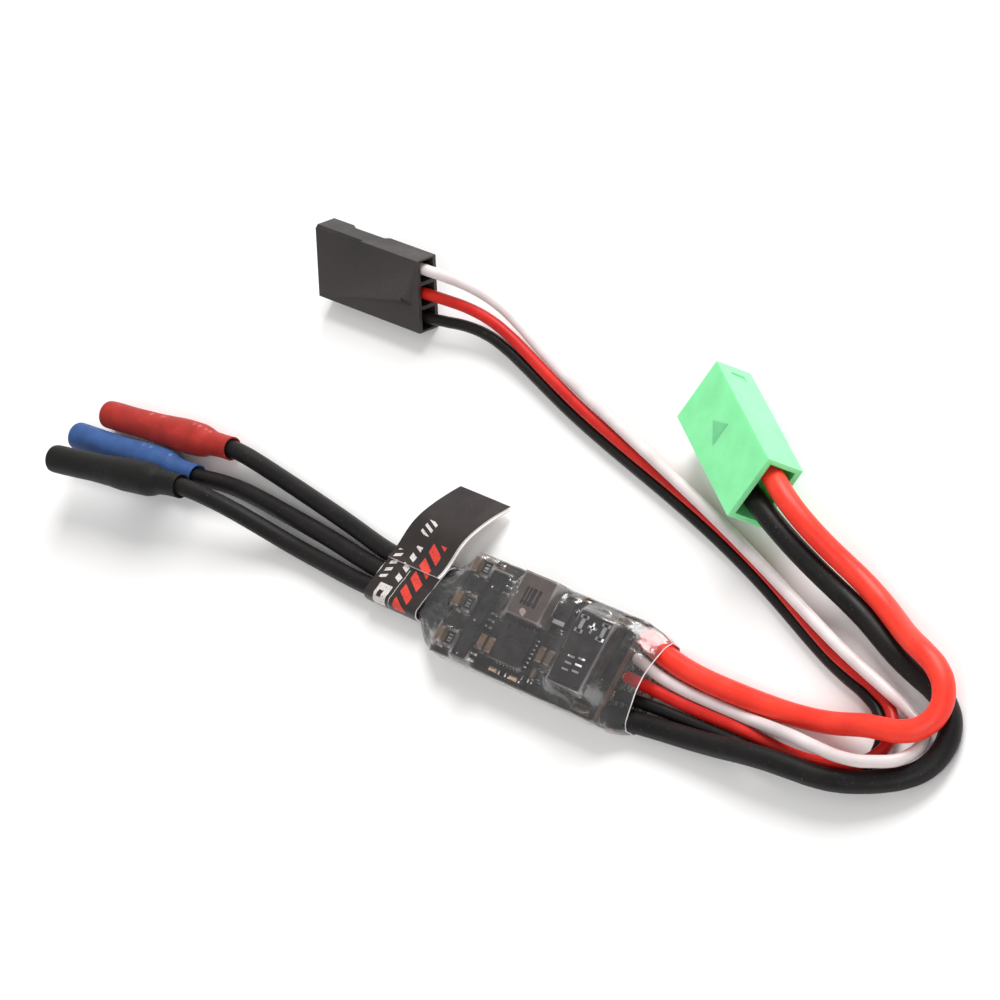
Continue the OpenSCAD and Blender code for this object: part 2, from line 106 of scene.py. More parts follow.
class Shader:
    """A material being built: each method adds one node and gives its output."""

    def __init__(self, name):
        self.material = bpy.data.materials.new(name)
        self.material.use_nodes = True
        self.tree = self.material.node_tree
        self.main = self.tree.nodes["Principled BSDF"]
        self.output = self.tree.nodes["Material Output"]
        self.place = self.node("TexCoord").outputs["Object"]

    def node(self, kind, inputs=None, **settings):
        node = self.tree.nodes.new("ShaderNode" + kind)
        for name, value in settings.items():
            setattr(node, name, value)
        for name, value in (inputs or {}).items():
            self.put(node.inputs[name], value)
        return node

    def put(self, socket, value):
        if isinstance(value, bpy.types.NodeSocket):
            self.tree.links.new(value, socket)
        else:
            socket.default_value = value

    def principled(self, **sockets):
        for name, value in sockets.items():
            self.put(self.main.inputs[name.replace("_", " ")], value)

    def noise(self, size, detail=2.0, stretch=(1, 1, 1)):
        """Soft noise whose features are about size millimetres across."""
        place = self.node("Mapping", {"Vector": self.place, "Scale": stretch}).outputs[0]
        inputs = {"Vector": place, "Scale": 1 / (size * MM), "Detail": detail}
        return self.node("TexNoise", inputs).outputs[0]

    def span(self, value, low, high, to_low=0.0, to_high=1.0):
        """value carried from low..high to to_low..to_high, and held at its ends."""
        inputs = {0: value, 1: low, 2: high, 3: to_low, 4: to_high}
        return self.node("MapRange", inputs).outputs[0]

    def math(self, operation, a, b=0.0):
        return self.node("Math", {0: a, 1: b}, operation=operation).outputs[0]

    def times(self, a, b):
        return self.math("MULTIPLY", a, b)

    def plus(self, a, b):
        return self.math("ADD", a, b)

    def most(self, first, *others):
        for other in others:
            first = self.math("MAXIMUM", first, other)
        return first

    def blend(self, factor, a, b):
        return self.node("Mix", {0: factor, 6: a, 7: b}, data_type="RGBA").outputs[2]

    def tones(self, soft, dark, light):
        """Two tones, in patches that follow soft."""
        return self.blend(self.span(soft, 0.3, 0.7), srgb(dark), srgb(light))

    def bump(self, height, depth):
        """The normal of a relief of height times depth millimetres."""
        return self.node("Bump", {"Height": height, "Distance": depth * MM}).outputs[0]

    def pointiness(self, low, high):
        return self.span(self.node("NewGeometry").outputs["Pointiness"], low, high)


def surface(name, dark, light, rough, patch, grain, depth, edge_wear_and_highlight=None, stretch=(1, 1, 1), **sockets):
    """A solid surface: two tones in soft patches, fine grain in the bump and the roughness, and
    given an edge colour, a lighter third tone along the convex edges, broken up by the grain: partly
    worn edges, partly a painted edge highlight. patch, grain and depth are in millimetres."""
    s = Shader(name)
    soft = s.noise(patch, 3.0, stretch)
    fine = s.noise(grain, 3.0, stretch)
    colour = s.tones(soft, dark, light)
    if edge_wear_and_highlight:
        # Painted edge highlight, partly real wear: the edge colour is laid where the surface is convex,
        # broken up by the grain.
        worn_and_lit_edges = s.times(s.pointiness(0.51, 0.58), s.span(fine, 0.35, 0.6))
        colour = s.blend(worn_and_lit_edges, colour, srgb(edge_wear_and_highlight))
    mixed = s.plus(s.times(soft, 0.6), s.times(fine, 0.4))
    s.principled(Base_Color=colour, Roughness=s.span(mixed, 0.35, 0.65, *rough),
                 Normal=s.bump(fine, depth), **sockets)
    return s.material


def insulation(name, dark, light, rough, **sockets):
    """The jacket of a lead: two soft tones, pale dust specks and faint waves under a soft sheen."""
    s = Shader(name)
    soft = s.noise(3.0, 3.0)
    fine = s.noise(0.07)
    dust = s.span(s.noise(0.16, 1.0), 0.72, 0.8)
    colour = s.blend(s.times(dust, 0.25), s.tones(soft, dark, light), srgb("b8b0aa"))
    relief = s.plus(s.times(s.noise(0.9), 3.0), fine)
    s.principled(Base_Color=colour, Roughness=s.span(s.plus(soft, fine), 0.8, 1.2, *rough),
                 Normal=s.bump(relief, 0.004), **sockets)
    return s.material


SILICONE_BLACK = insulation("silicone_black", "0d0b0b", "161312", (0.42, 0.56), Specular_IOR_Level=0.24)
SILICONE_RED = insulation("silicone_red", "e22c1c", "f03b28", (0.34, 0.5), Specular_IOR_Level=0.36)
WIRE_BLACK = insulation("wire_black", "0f0d0d", "191615", (0.34, 0.46), Specular_IOR_Level=0.25)
WIRE_RED = insulation("wire_red", "b31812", "c7231a", (0.32, 0.45), Specular_IOR_Level=0.3)
WIRE_WHITE = insulation("wire_white", "c9bdbc", "dacfce", (0.3, 0.45))


# ---------------------------------------------------------------- leads

# The routes of part.scad, from the board outwards.
ROUTES = {
    "motor_lead_a": [
        (-11, 3, 1.25), (-15.5, 1.9, 1.25), (-22.5, 1.9, 1.25), (-28, 2.7, 1), (-36.5, 3.9, 0.95),
        (-43.6, 4.8, 1.2), (-48, 5.1, 1.75), (-53.4, 4.6, 1.75)],
    "motor_lead_b": [
        (-11, 0, 1.25), (-15.5, 0, 1.25), (-22.5, 0, 1.25), (-29.5, 0.7, 1), (-38, 1.4, 0.95),
        (-46.2, 1.7, 1.2), (-50.5, 1.1, 1.75), (-55.9, 0.8, 1.75)],
    "motor_lead_c": [
        (-11, -3, 1.25), (-15.5, -1.9, 1.25), (-22.5, -1.9, 1.25), (-29.5, -1.6, 1), (-35, -1.25, 1.2),
        (-42.5, -0.7, 3), (-49.2, -0.75, 4.35), (-54.5, -1.5, 4.35)],
    "battery_lead_positive": [
        (10.9, 3.95, 1.2), (14, 3.2, 1.2), (18, 2.7, 1.15), (23, 2.65, 1.1), (29.1, 2.9, 1.15),
        (34.9, 3.6, 1.95), (39.25, 4.4, 3.2), (43.15, 5.25, 3.4), (44.85, 7.2, 3.2), (44.7, 9.5, 3.4),
        (43.05, 11.25, 3.7), (40.5, 12.25, 3.55), (37.75, 13.15, 2.75), (34.35, 14.55, 1.8),
        (30.3, 16.2, 2.1), (26.4, 17.6, 4.1), (22.5, 19.4, 6), (19.4, 21.1, 6.1), (16.5, 22.7, 5.5)],
    "battery_lead_negative": [
        (10.9, -3.95, 1.2), (14.5, -3.4, 1.2), (19, -2.95, 1.3), (24, -2.5, 1.75), (28.95, -1.95, 2.4),
        (33.6, -1.6, 2.45), (37.45, -1.15, 2.25), (41.65, 0.45, 1.75), (44.9, 2.95, 1.25), (45.7, 6.05, 1.1),
        (44.15, 8.75, 1.1), (40.4, 10.25, 1.15), (36.35, 11.5, 1.1), (31.7, 13.4, 1.2), (27.1, 15, 2.5),
        (22.5, 16.8, 4.6), (18.2, 18.7, 5.1), (15.2, 20, 4.5)],
    "servo_lead_signal": [
        (10.9, 2, 1.25), (14.5, 1.3, 0.95), (19, 1.05, 0.7), (26, 1.05, 1), (32.9, 0.9, 3.3),
        (36.8, 0.8, 3.5), (40.2, 1.2, 3.65), (43.65, 3.2, 2.65), (43.35, 5.75, 1.15), (40.35, 7.25, 1.05),
        (37.35, 8.25, 2.1), (32, 9.8, 2.45), (20.9, 13.65, 2.4), (7.85, 17.9, 2.3), (-8, 22.6, 1.85),
        (-17.95, 25.9, 1.45), (-25.65, 28.45, 3.1), (-32.4, 28.35, 5.3), (-35.9, 28.35, 5.3)],
    "servo_lead_positive": [
        (10.9, 0.05, 1.25), (14.5, -0.05, 0.95), (19, -0.15, 0.65), (26, -0.15, 0.65), (32.2, -0.3, 1),
        (36, 0.2, 1.7), (38.95, 1.2, 1.9), (40.3, 2.95, 1.55), (40.15, 4.9, 1.15), (38.6, 6.75, 0.95),
        (35.65, 8.05, 1.25), (31.3, 9.15, 1.45), (20.85, 13.2, 1.3), (7.05, 17.5, 1.25), (-8.9, 21.6, 1.45),
        (-18.95, 24.9, 1.55), (-25.95, 26.7, 2.5), (-32.4, 26.5, 3.55), (-35.9, 26.5, 3.55)],
    "servo_lead_negative": [
        (10.9, -1.8, 1.25), (14.5, -1.5, 0.95), (19, -1.35, 0.62), (26, -1.35, 0.62), (32.55, -1.6, 0.62),
        (36.5, -0.95, 0.62), (38.65, 0.9, 0.62), (39.25, 2.95, 0.62), (38.75, 4.7, 0.62), (37.4, 6.15, 0.62),
        (34.9, 7.25, 0.62), (30.6, 8.45, 0.65), (20.3, 12.35, 0.62), (6.5, 16.65, 0.65), (-10.2, 20.95, 0.75),
        (-19.7, 24, 1.05), (-26.25, 25.3, 1.55), (-32.4, 24.65, 1.8), (-35.9, 24.65, 1.8)],
}
# Diameter and length in millimetres, points along the curve, and material of each lead.
LEADS = {
    "motor_lead_a": (1.8, 42.9, 24, SILICONE_BLACK),
    "motor_lead_b": (1.8, 45.1, 24, SILICONE_BLACK),
    "motor_lead_c": (1.8, 44.2, 24, SILICONE_BLACK),
    "battery_lead_positive": (2.1, 70.6, 36, SILICONE_RED),
    "battery_lead_negative": (2.1, 73.8, 36, SILICONE_BLACK),
    "servo_lead_signal": (1.15, 121.1, 40, WIRE_WHITE),
    "servo_lead_positive": (1.15, 113.0, 40, WIRE_RED),
    "servo_lead_negative": (1.15, 111.0, 40, WIRE_BLACK),
}
FINE_STEPS = 2000


def run_along(points):
    """How far along a line of points each point lies."""
    return np.concatenate(([0], np.cumsum(np.linalg.norm(np.diff(points, axis=0), axis=1))))


def points_at(distances, run, points):
    return [Vector([np.interp(d, run, points[:, axis]) for axis in range(3)]) for d in distances]


def smooth_route(route, count):
    """count points spaced evenly along the natural cubic curve through a route's points."""
    knots = np.array(route, float)
    steps = np.sqrt(np.linalg.norm(np.diff(knots, axis=0), axis=1))
    times = np.concatenate(([0], np.cumsum(steps)))
    last = len(knots) - 1
    system = np.eye(last + 1)
    target = np.zeros((last + 1, 3))
    for i in range(1, last):
        system[i, i - 1:i + 2] = steps[i - 1], 2 * (steps[i - 1] + steps[i]), steps[i]
        target[i] = 6 * ((knots[i + 1] - knots[i]) / steps[i] - (knots[i] - knots[i - 1]) / steps[i - 1])
    bend = np.linalg.solve(system, target)
    t = np.linspace(0, times[-1], FINE_STEPS)
    k = np.clip(np.searchsorted(times, t, side="right") - 1, 0, last - 1)
    step = steps[k][:, None]
    a = (times[k + 1] - t)[:, None] / step
    b = 1 - a
    curve = a * knots[k] + b * knots[k + 1]
    curve += ((a ** 3 - a) * bend[k] + (b ** 3 - b) * bend[k + 1]) * step ** 2 / 6
    run = run_along(curve)
    return points_at(np.linspace(0, run[-1], count), run, curve)


def add_lead(name):
    diameter, _, count, material = LEADS[name]
    data = bpy.data.curves.new(name + "_cord", "CURVE")
    data.dimensions = "3D"
    data.bevel_depth = diameter / 2 * MM
    data.bevel_resolution = 6
    data.resolution_u = 8
    data.use_fill_caps = True
    spline = data.splines.new("BEZIER")
    spline.bezier_points.add(count - 1)
    for knot, point in zip(spline.bezier_points, smooth_route(ROUTES[name], count)):
        knot.co = point * MM
        knot.handle_left_type = knot.handle_right_type = "AUTO"
        knot.radius = 1 + 0.012 * noise.noise(point * 0.4)
    data.materials.append(material)
    lead = new_object(name + "_cord", data)
    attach(lead, "root")
    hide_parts(name)
    return lead


leads = {name: add_lead(name) for name in LEADS}


# ---------------------------------------------------------------- more materials

def film_material(name, haze_and_highlight, gloss):
    """Clear crinkled film: see-through with a mirror-like sheen, and milky white in soft clouds and along its
    creases; the white on the creases is partly whitening of the folds, partly a painted highlight.
    """
    s = Shader(name)
    crease = s.node("Attribute", attribute_name="crease").outputs["Fac"]
    cloud = s.noise(1.6, 3.0)
    scuffs = s.span(s.noise(0.5, 4.0, (1, 3, 1)), 0.6, 0.75)
    # Painted highlight, partly real whitening: milky white along the creases, over haze in soft clouds.
    haze_and_fold_highlight = s.plus(s.span(crease, 0.35, 1.4, 0.0, 0.28), s.span(cloud, 0.4, 0.75, haze_and_highlight, haze_and_highlight * 2.5))
    haze_and_fold_highlight = s.plus(haze_and_fold_highlight, s.times(scuffs, 0.04))
    normal = s.bump(s.plus(s.noise(1.1, 3.0), s.times(s.noise(0.35), 0.35)), 0.05)
    fresnel = s.times(s.node("Fresnel", {"IOR": 1.55, "Normal": normal}).outputs[0], gloss)
    clear = s.node("BsdfTransparent", {"Color": (0.975, 0.965, 0.962, 1)}).outputs[0]
    gleam = {"Color": (1, 1, 1, 1), "Roughness": s.span(cloud, 0.3, 0.7, 0.08, 0.22), "Normal": normal}
    mirror = s.node("BsdfAnisotropic", gleam).outputs[0]
    haze_and_highlight_white = s.node("BsdfDiffuse", {"Color": srgb("f1eeee"), "Normal": normal}).outputs[0]
    glossed = s.node("MixShader", {0: fresnel, 1: clear, 2: mirror}).outputs[0]
    s.put(s.output.inputs["Surface"], s.node("MixShader", {0: haze_and_fold_highlight, 1: glossed, 2: haze_and_highlight_white}).outputs[0])
    s.tree.nodes.remove(s.main)
    return s.material


FILM = film_material("clear_film", 0.01, 1.35)
# The rim's strong milky white is a painted highlight along the film's cut edges.
FILM_RIM_HIGHLIGHT = film_material("clear_film_rim_highlight", 0.4, 1.0)
BOARD_MASK = surface("board_mask", "201c1b", "2f2a28", (0.3, 0.5), 1.4, 0.1, 0.003)
TRACE_MASK = surface("trace_mask", "342e2b", "453d39", (0.25, 0.45), 1.0, 0.1, 0.003)
BOARD_EDGE = surface("board_edge", "5e4a3c", "83705f", (0.6, 0.85), 0.9, 0.08, 0.02, stretch=(1, 1, 9))
TIN = surface("solder_tin", "b5b0ab", "d9d6d2", (0.18, 0.4), 0.5, 0.09, 0.012, Metallic=1.0)
COPPER_PAD = surface("plated_pad", "b9a489", "d8c8ae", (0.25, 0.5), 0.5, 0.1, 0.006, Metallic=1.0)
GOLD = surface("gold_plate", "c99a3e", "e2b85a", (0.16, 0.32), 1.2, 0.1, 0.004, stretch=(0.3, 1, 1),
               Metallic=1.0)
CAP_BODY = surface("ceramic_tan", "7d6350", "9c8069", (0.35, 0.55), 0.5, 0.06, 0.004, "b59a82")
CAP_END = surface("ceramic_end", "b08f80", "d9c3b8", (0.25, 0.45), 0.4, 0.06, 0.008, Metallic=0.85)
CHIP_END = surface("chip_end", "bdb8b4", "e0dcd9", (0.2, 0.4), 0.4, 0.06, 0.008, Metallic=0.9)
ALUMINA = surface("alumina", "d9d3cf", "f0ebe8", (0.45, 0.65), 0.5, 0.05, 0.004)
RESISTOR_TOP = surface("resistor_glaze", "1e1c1d", "2c2a2b", (0.25, 0.4), 0.6, 0.08, 0.004)
EPOXY = surface("black_epoxy", "201d1d", "2e2a2a", (0.4, 0.6), 1.0, 0.05, 0.006, "4c4645")
FERRITE = surface("ferrite_grey", "6f605c", "877671", (0.45, 0.65), 0.8, 0.05, 0.012, "a08f89")
TANTALUM = surface("tantalum_case", "2b2625", "383231", (0.4, 0.55), 1.2, 0.05, 0.006, "57504e")
INK_SILVER = surface("ink_silver", "c4c4ca", "e2e2e6", (0.5, 0.7), 0.3, 0.05, 0.004)
INK_DARK = surface("ink_dark", "2a2322", "3a3130", (0.5, 0.7), 0.3, 0.05, 0.004)
STRAND = surface("copper_strand", "b06a45", "d89a74", (0.25, 0.45), 0.5, 0.06, 0.006, Metallic=1.0)
PLUG_BLACK = surface("plug_black", "1e1a19", "2a2625", (0.42, 0.6), 1.6, 0.06, 0.012, "4a4543",
                     Specular_IOR_Level=0.4)
LABEL_BACK = surface("label_back", "cfc9c7", "e6e1df", (0.45, 0.6), 1.5, 0.1, 0.006)


def shrink_tube(name, dark, light, powder_and_highlight):
    """Matt heat-shrink: powdery pale specks, draw lines along the tube, and a painted highlight in the same
    pale colour over its convex ridges and bulges.
    """
    s = Shader(name)
    fine = s.noise(0.09, 3.0)
    pores = s.noise(0.22, 2.0, (0.25, 1, 1))
    colour = s.tones(s.noise(1.8, 3.0), dark, light)
    # Painted highlight: the pale colour laid over the convex ridges and bulges.
    colour = s.blend(s.times(s.pointiness(0.5, 0.62), 0.6), colour, srgb(powder_and_highlight))
    colour = s.blend(s.span(fine, 0.55, 0.8, 0.0, 0.3), colour, srgb(powder_and_highlight))
    relief = s.plus(fine, s.times(pores, 1.4))
    s.principled(Base_Color=colour, Roughness=s.span(fine, 0.3, 0.7, 0.5, 0.72), Normal=s.bump(relief, 0.016),
                 Specular_IOR_Level=0.25, Sheen_Weight=0.05, Sheen_Roughness=0.4)
    return s.material


SHRINK_RED = shrink_tube("shrink_red", "8e2019", "a82c24", "c8635a")
SHRINK_BLUE = shrink_tube("shrink_blue", "2b4a7d", "36588f", "6b87ad")
SHRINK_BLACK = shrink_tube("shrink_black", "0a0908", "12100f", "3a3633")


def nylon_material():
    """Mint nylon: cloudy and a little translucent, with fine mould grain and a painted highlight of paler
    mint on its edges.
    """
    s = Shader("plug_green")
    flow = s.noise(1.2, 2.0, (0.3, 1, 1))
    colour = s.tones(s.noise(2.2, 3.0), "45c46c", "63da87")
    # Painted edge highlight: paler mint laid where the surface is convex.
    colour = s.blend(s.times(s.pointiness(0.51, 0.6), 0.5), colour, srgb("a2f4ba"))
    s.principled(Base_Color=colour, Roughness=s.span(flow, 0.3, 0.7, 0.32, 0.5),
                 Normal=s.bump(s.noise(0.12, 3.0), 0.008),
                 Subsurface_Weight=0.35, Subsurface_Radius=(0.5, 1.0, 0.6), Subsurface_Scale=1.2 * MM)
    return s.material


def label_material():
    """Brown-black satin label. Its generic marks are laid out in the wrap map: U runs round the
    wrap and out along the flag, V along X, both in millimetres."""
    s = Shader("label_print")
    parts = s.node("SeparateXYZ", {0: s.node("UVMap", uv_map="wrap").outputs[0]})
    u, v = parts.outputs[0], parts.outputs[1]

    def within(value, low, high):
        return s.times(s.math("GREATER_THAN", value, low), s.math("LESS_THAN", value, high))

    def patch(low, high, first, last):
        """The part with V from low to high and U from first to last."""
        return s.times(within(v, low, high), within(u, first, last))

    def bars(low, high, first, last, pitch, duty, slant):
        """Slanted bars over a patch."""
        leaned = s.plus(u, s.times(v, slant))
        bar = s.math("LESS_THAN", s.math("MODULO", leaned, pitch), pitch * duty)
        return s.times(bar, patch(low, high, first, last))

    red = bars(4.0, 5.75, 2.1, 9.3, 1.5, 0.6, 0.55)
    badge = s.most(bars(2.3, 3.1, 4.5, 8.4, 1.15, 0.5, 0.4), patch(3.35, 3.42, 0.0, 6.0),
                   patch(1.2, 2.9, 2.0, 3.9))
    white = s.most(s.math("SUBTRACT", badge, patch(1.6, 2.2, 2.5, 3.2)),
                   bars(0.5, 1.3, 4.3, 7.6, 0.8, 0.45, -0.4), bars(1.6, 2.9, 9.6, 11.3, 0.7, 0.45, 0.4))
    scuffed = s.span(s.noise(0.14, 3.0), 0.3, 0.42)
    colour = s.blend(s.times(red, scuffed), s.tones(s.noise(2.5, 3.0), "1d1614", "2b2220"), srgb("d23a2b"))
    colour = s.blend(s.times(white, scuffed), colour, srgb("cfc8c5"))
    fine = s.noise(0.1, 3.0)
    rough = s.plus(s.span(fine, 0.3, 0.7, 0.34, 0.48), s.times(s.most(red, white), 0.12))
    normal = s.bump(s.plus(s.noise(1.6), s.times(fine, 0.15)), 0.05)
    s.principled(Base_Color=colour, Roughness=rough, Normal=normal, Coat_Weight=0.15, Coat_Roughness=0.3)
    return s.material


NYLON = nylon_material()
LABEL = label_material()


# ---------------------------------------------------------------- mesh helpers

class Solid:
    """Gathers shapes made in millimetres into one mesh with several materials."""

    def __init__(self):
        self.mesh = bmesh.new()
        self.materials = []

    def add(self, shape, material, matrix=None):
        """Takes over the bmesh shape, all in one material."""
        if material not in self.materials:
            self.materials.append(material)
        for face in shape.faces:
            face.material_index = self.materials.index(material)
            face.smooth = True
        if matrix:
            shape.transform(matrix)
        carrier = bpy.data.meshes.new("carrier")
        shape.to_mesh(carrier)
        shape.free()
        self.mesh.from_mesh(carrier)
        bpy.data.meshes.remove(carrier)

    def block(self, middle, size, material, bevel=0.05, steps=2, top_scale=1.0, matrix=None):
        """A block with rounded edges; its top may be drafted by top_scale."""
        shape = bmesh.new()
        bmesh.ops.create_cube(shape, size=1.0)
        for vert in shape.verts:
            if vert.co.z > 0:
                vert.co.x *= top_scale
                vert.co.y *= top_scale
        bmesh.ops.scale(shape, vec=size, verts=shape.verts)
        bmesh.ops.bevel(shape, geom=list(shape.edges), offset=min(bevel, min(size) * 0.45), segments=steps,
                        profile=0.5, affect="EDGES", clamp_overlap=True)
        place = Matrix.Translation(middle)
        self.add(shape, material, matrix @ place if matrix else place)

    def mark(self, x, y, z, across, along, ink, thick=0.012, bevel=0.004):
        """A thin printed patch."""
        self.block((x, y, z), (across, along, thick), ink, bevel, 1)

    def dot(self, x, y, z, radii, sides, thick, ink):
        """A round mark, with its radii at the foot and at the top."""
        self.loft([circle(r, sides, z + rise, (x, y)) for r, rise in zip(radii, (0, thick))], ink)

    def loft(self, rings, material, caps=True, matrix=None):
        self.add(loft(rings, caps), material, matrix)

    def end_tabs(self, place, angles, profile, width, thickness, solder, reach):
        """Bent end tabs facing each angle, each with its solder fillet at reach."""
        for angle in angles:
            turn = turned(angle, place)
            self.add(strip(profile, width, thickness), CHIP_END, turn)
            self.add(fillet(*solder), TIN, turn @ Matrix.Translation((reach, 0, 0)))

    def finish(self, name, node, matrix=None, flat_normals=True):
        """Turns the gathered mesh into an object in metres that rides on the root body and stands
        for a CAD node."""
        self.mesh.transform(TO_METRES @ matrix if matrix else TO_METRES)
        bmesh.ops.recalc_face_normals(self.mesh, faces=self.mesh.faces)
        data = bpy.data.meshes.new(name)
        self.mesh.to_mesh(data)
        self.mesh.free()
        for material in self.materials:
            data.materials.append(material)
        thing = new_object(name, data)
        if flat_normals:
            thing.modifiers.new("even_shading", "WEIGHTED_NORMAL").keep_sharp = True
        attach(thing, "root")
        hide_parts(node)
        return thing


def loft(rings, caps=True):
    """A skin through closed rings with the same number of points."""
    shape = bmesh.new()
    rows = [[shape.verts.new(point) for point in ring] for ring in rings]
    for near, far in zip(rows, rows[1:]):
        for i in range(len(near)):
            j = (i + 1) % len(near)
            shape.faces.new((near[i], near[j], far[j], far[i]))
    if caps:
        shape.faces.new(rows[0][::-1])
        shape.faces.new(rows[-1])
    return shape


def circle(radius, count, height=0.0, centre=(0, 0)):
    return [Vector((centre[0] + radius * cos(t), centre[1] + radius * sin(t), height)) for t in turns(count)]


def strip(path, width, thickness):
    """A bent flat strip: path gives its middle line as pairs of X and Z, and its width lies along Y."""
    rings = []
    for i, point in enumerate(path):
        before = Vector(path[max(i - 1, 0)])
        after = Vector(path[min(i + 1, len(path) - 1)])
        along = (after - before).normalized()
        side = Vector((-along.y, along.x)) * thickness / 2
        corners = [(side, -1), (side, 1), (-side, 1), (-side, -1)]
        rings.append([Vector((point[0] + s.x, w * width / 2, point[1] + s.y)) for s, w in corners])
    return loft(rings)


def fillet(width, height, reach):
    """A solder fillet: it climbs a wall in the plane X = 0 and runs out along +X."""
    profile = [(0, 0), (0, height), (0.12 * reach, height * 0.62), (0.35 * reach, height * 0.28),
               (0.7 * reach, height * 0.08), (reach, 0)]
    return loft([[Vector((x * scale, y * width, z * scale)) for x, z in profile]
                 for y, scale in ((-0.5, 0.55), (-0.38, 0.92), (0, 1.0), (0.38, 0.92), (0.5, 0.55))])


def turned(angle, place=(0, 0, 0)):
    """A turn about Z by an angle in degrees, then a move."""
    return Matrix.Translation(place) @ Matrix.Rotation(radians(angle), 4, "Z")


def facing(side, place=(0, 0, 0)):
    """Turned to face +X where side is 1 and -X where side is -1, then moved."""
    return turned(90 - 90 * side, place)


# ---------------------------------------------------------------- parts on the board

BOARD_LOW, BOARD_HIGH, BOARD_MIDDLE = box_mm("circuit_board")
BOARD_TOP = BOARD_HIGH.z
BOARD_UNDER = BOARD_LOW.z
SEAT = 0.02
CHIP_0402 = (1.0, 0.5, 0.4)
CHIP_0603 = (1.6, 0.85, 0.85)
CHIP_0805 = (2.0, 1.2, 0.5)
DRIVER_LENGTH = 2.0
PIN_ROWS = (-0.65, 0, 0.65)
DECOUPLING_PLACES = ((-4.9, -2.6), (-3.75, -2.6), (2.3, -1.5), (3.45, -1.5))


def two_ended_chip(solid, x, y, size, cap, along_y, body, end, top=None):
    """A chip component with metal end caps and its solder fillets; top is a glaze laid on it."""
    length, width, height = size
    turn = turned(90 if along_y else 0, (x, y, BOARD_TOP + SEAT))
    solid.block((0, 0, height / 2), (length - 0.1, width - 0.05, height - 0.05), body, 0.04, matrix=turn)
    for side in (-1, 1):
        middle = (side * (length - cap) / 2, 0, height / 2)
        solid.block(middle, (cap, width, height), end, 0.07, 3, matrix=turn)
        climb = facing(side, (side * (length / 2 - 0.02), 0, 0))
        solid.add(fillet(width * 0.96, height * 0.62, 0.24), TIN, turn @ climb)
    if top:
        solid.block((0, 0, height - 0.015), (length - 2 * cap - 0.02, width - 0.12, 0.04), top, 0.015, 1,
                    matrix=turn)


def row_places(node, length, count=3):
    """Where the middles of count equal parts lie in a row along Y in a node's box, as X and Y."""
    low, high, middle = box_mm(node)
    step = (high.y - low.y - length) / (count - 1)
    return [(middle.x, low.y + length / 2 + step * i) for i in range(count)]


def add_phase_parts():
    solid = Solid()
    for x, y in row_places("phase_capacitors", CHIP_0603[0]):
        two_ended_chip(solid, x, y, CHIP_0603, 0.3, True, CAP_BODY, CAP_END)
    solid.finish("phase_capacitor_row", "phase_capacitors")

    solid = Solid()
    for x, y in row_places("phase_resistors", CHIP_0805[0]):
        two_ended_chip(solid, x, y, CHIP_0805, 0.36, True, ALUMINA, CHIP_END, RESISTOR_TOP)
        for offset, wide in ((-0.33, 0.12), (-0.05, 0.22), (0.28, 0.12)):
            solid.mark(x, y + offset, BOARD_TOP + SEAT + 0.508, 0.5, wide, INK_SILVER, bevel=0.003)
    solid.finish("phase_resistor_row", "phase_resistors")


def add_gate_drivers():
    solid = Solid()
    foot = [(0.0, 0.42), (0.14, 0.42), (0.2, 0.38), (0.27, 0.12), (0.33, 0.06), (0.44, 0.05)]
    for x, y in row_places("gate_drivers", DRIVER_LENGTH):
        solid.block((x, y, BOARD_TOP + 0.33), (1.25, DRIVER_LENGTH, 0.42), EPOXY)
        solid.block((x, y, BOARD_TOP + 0.75), (1.25, DRIVER_LENGTH, 0.44), EPOXY, 0.06, 3, 0.93)
        for row in PIN_ROWS:
            for side in (-1, 1):
                heel, tip = ((x + side * out, y + row, BOARD_TOP) for out in (0.62, 0.98))
                solid.add(strip(foot, 0.26, 0.1), CHIP_END, facing(side, heel))
                solid.add(fillet(0.3, 0.16, 0.2), TIN, facing(side, tip))
        solid.dot(x - 0.33, y - 0.66, BOARD_TOP + 0.968, (0.13, 0.11), 20, 0.006, INK_SILVER)
    solid.finish("gate_driver_row", "gate_drivers")


def add_microcontroller():
    low, high, middle = box_mm("microcontroller")
    side, pin_pitch, height = 3.9, 0.45, high.z - low.z
    solid = Solid()
    solid.block((middle.x, middle.y, low.z + height * 0.52), (side, side, height * 0.95), EPOXY, 0.06, 3)
    for quarter in range(4):
        turn = turned(90 * quarter, (middle.x, middle.y, low.z))
        for step in range(-3, 4):
            y = step * pin_pitch
            solid.block((side / 2 - 0.02, y, 0.1), (0.14, 0.22, 0.2), CHIP_END, 0.02, matrix=turn)
            solid.add(fillet(0.24, 0.16, 0.18), TIN, turn @ turned(0, (side / 2 + 0.04, y, 0)))
    top = low.z + height * 0.52 + height * 0.475 + 0.004
    solid.dot(middle.x - 1.45, middle.y + 1.45, top, (0.2, 0.17), 24, 0.004, INK_DARK)
    for row, widths in enumerate(((0.9, 0.4, 0.7), (0.5, 0.9), (0.7, 0.3, 0.5))):
        x = middle.x - 1.1
        for width in widths:
            solid.mark(x + width / 2, middle.y + 0.5 - row * 0.55, top, width, 0.16, TRACE_MASK)
            x += width + 0.16
    solid.finish("microcontroller_chip", "microcontroller")


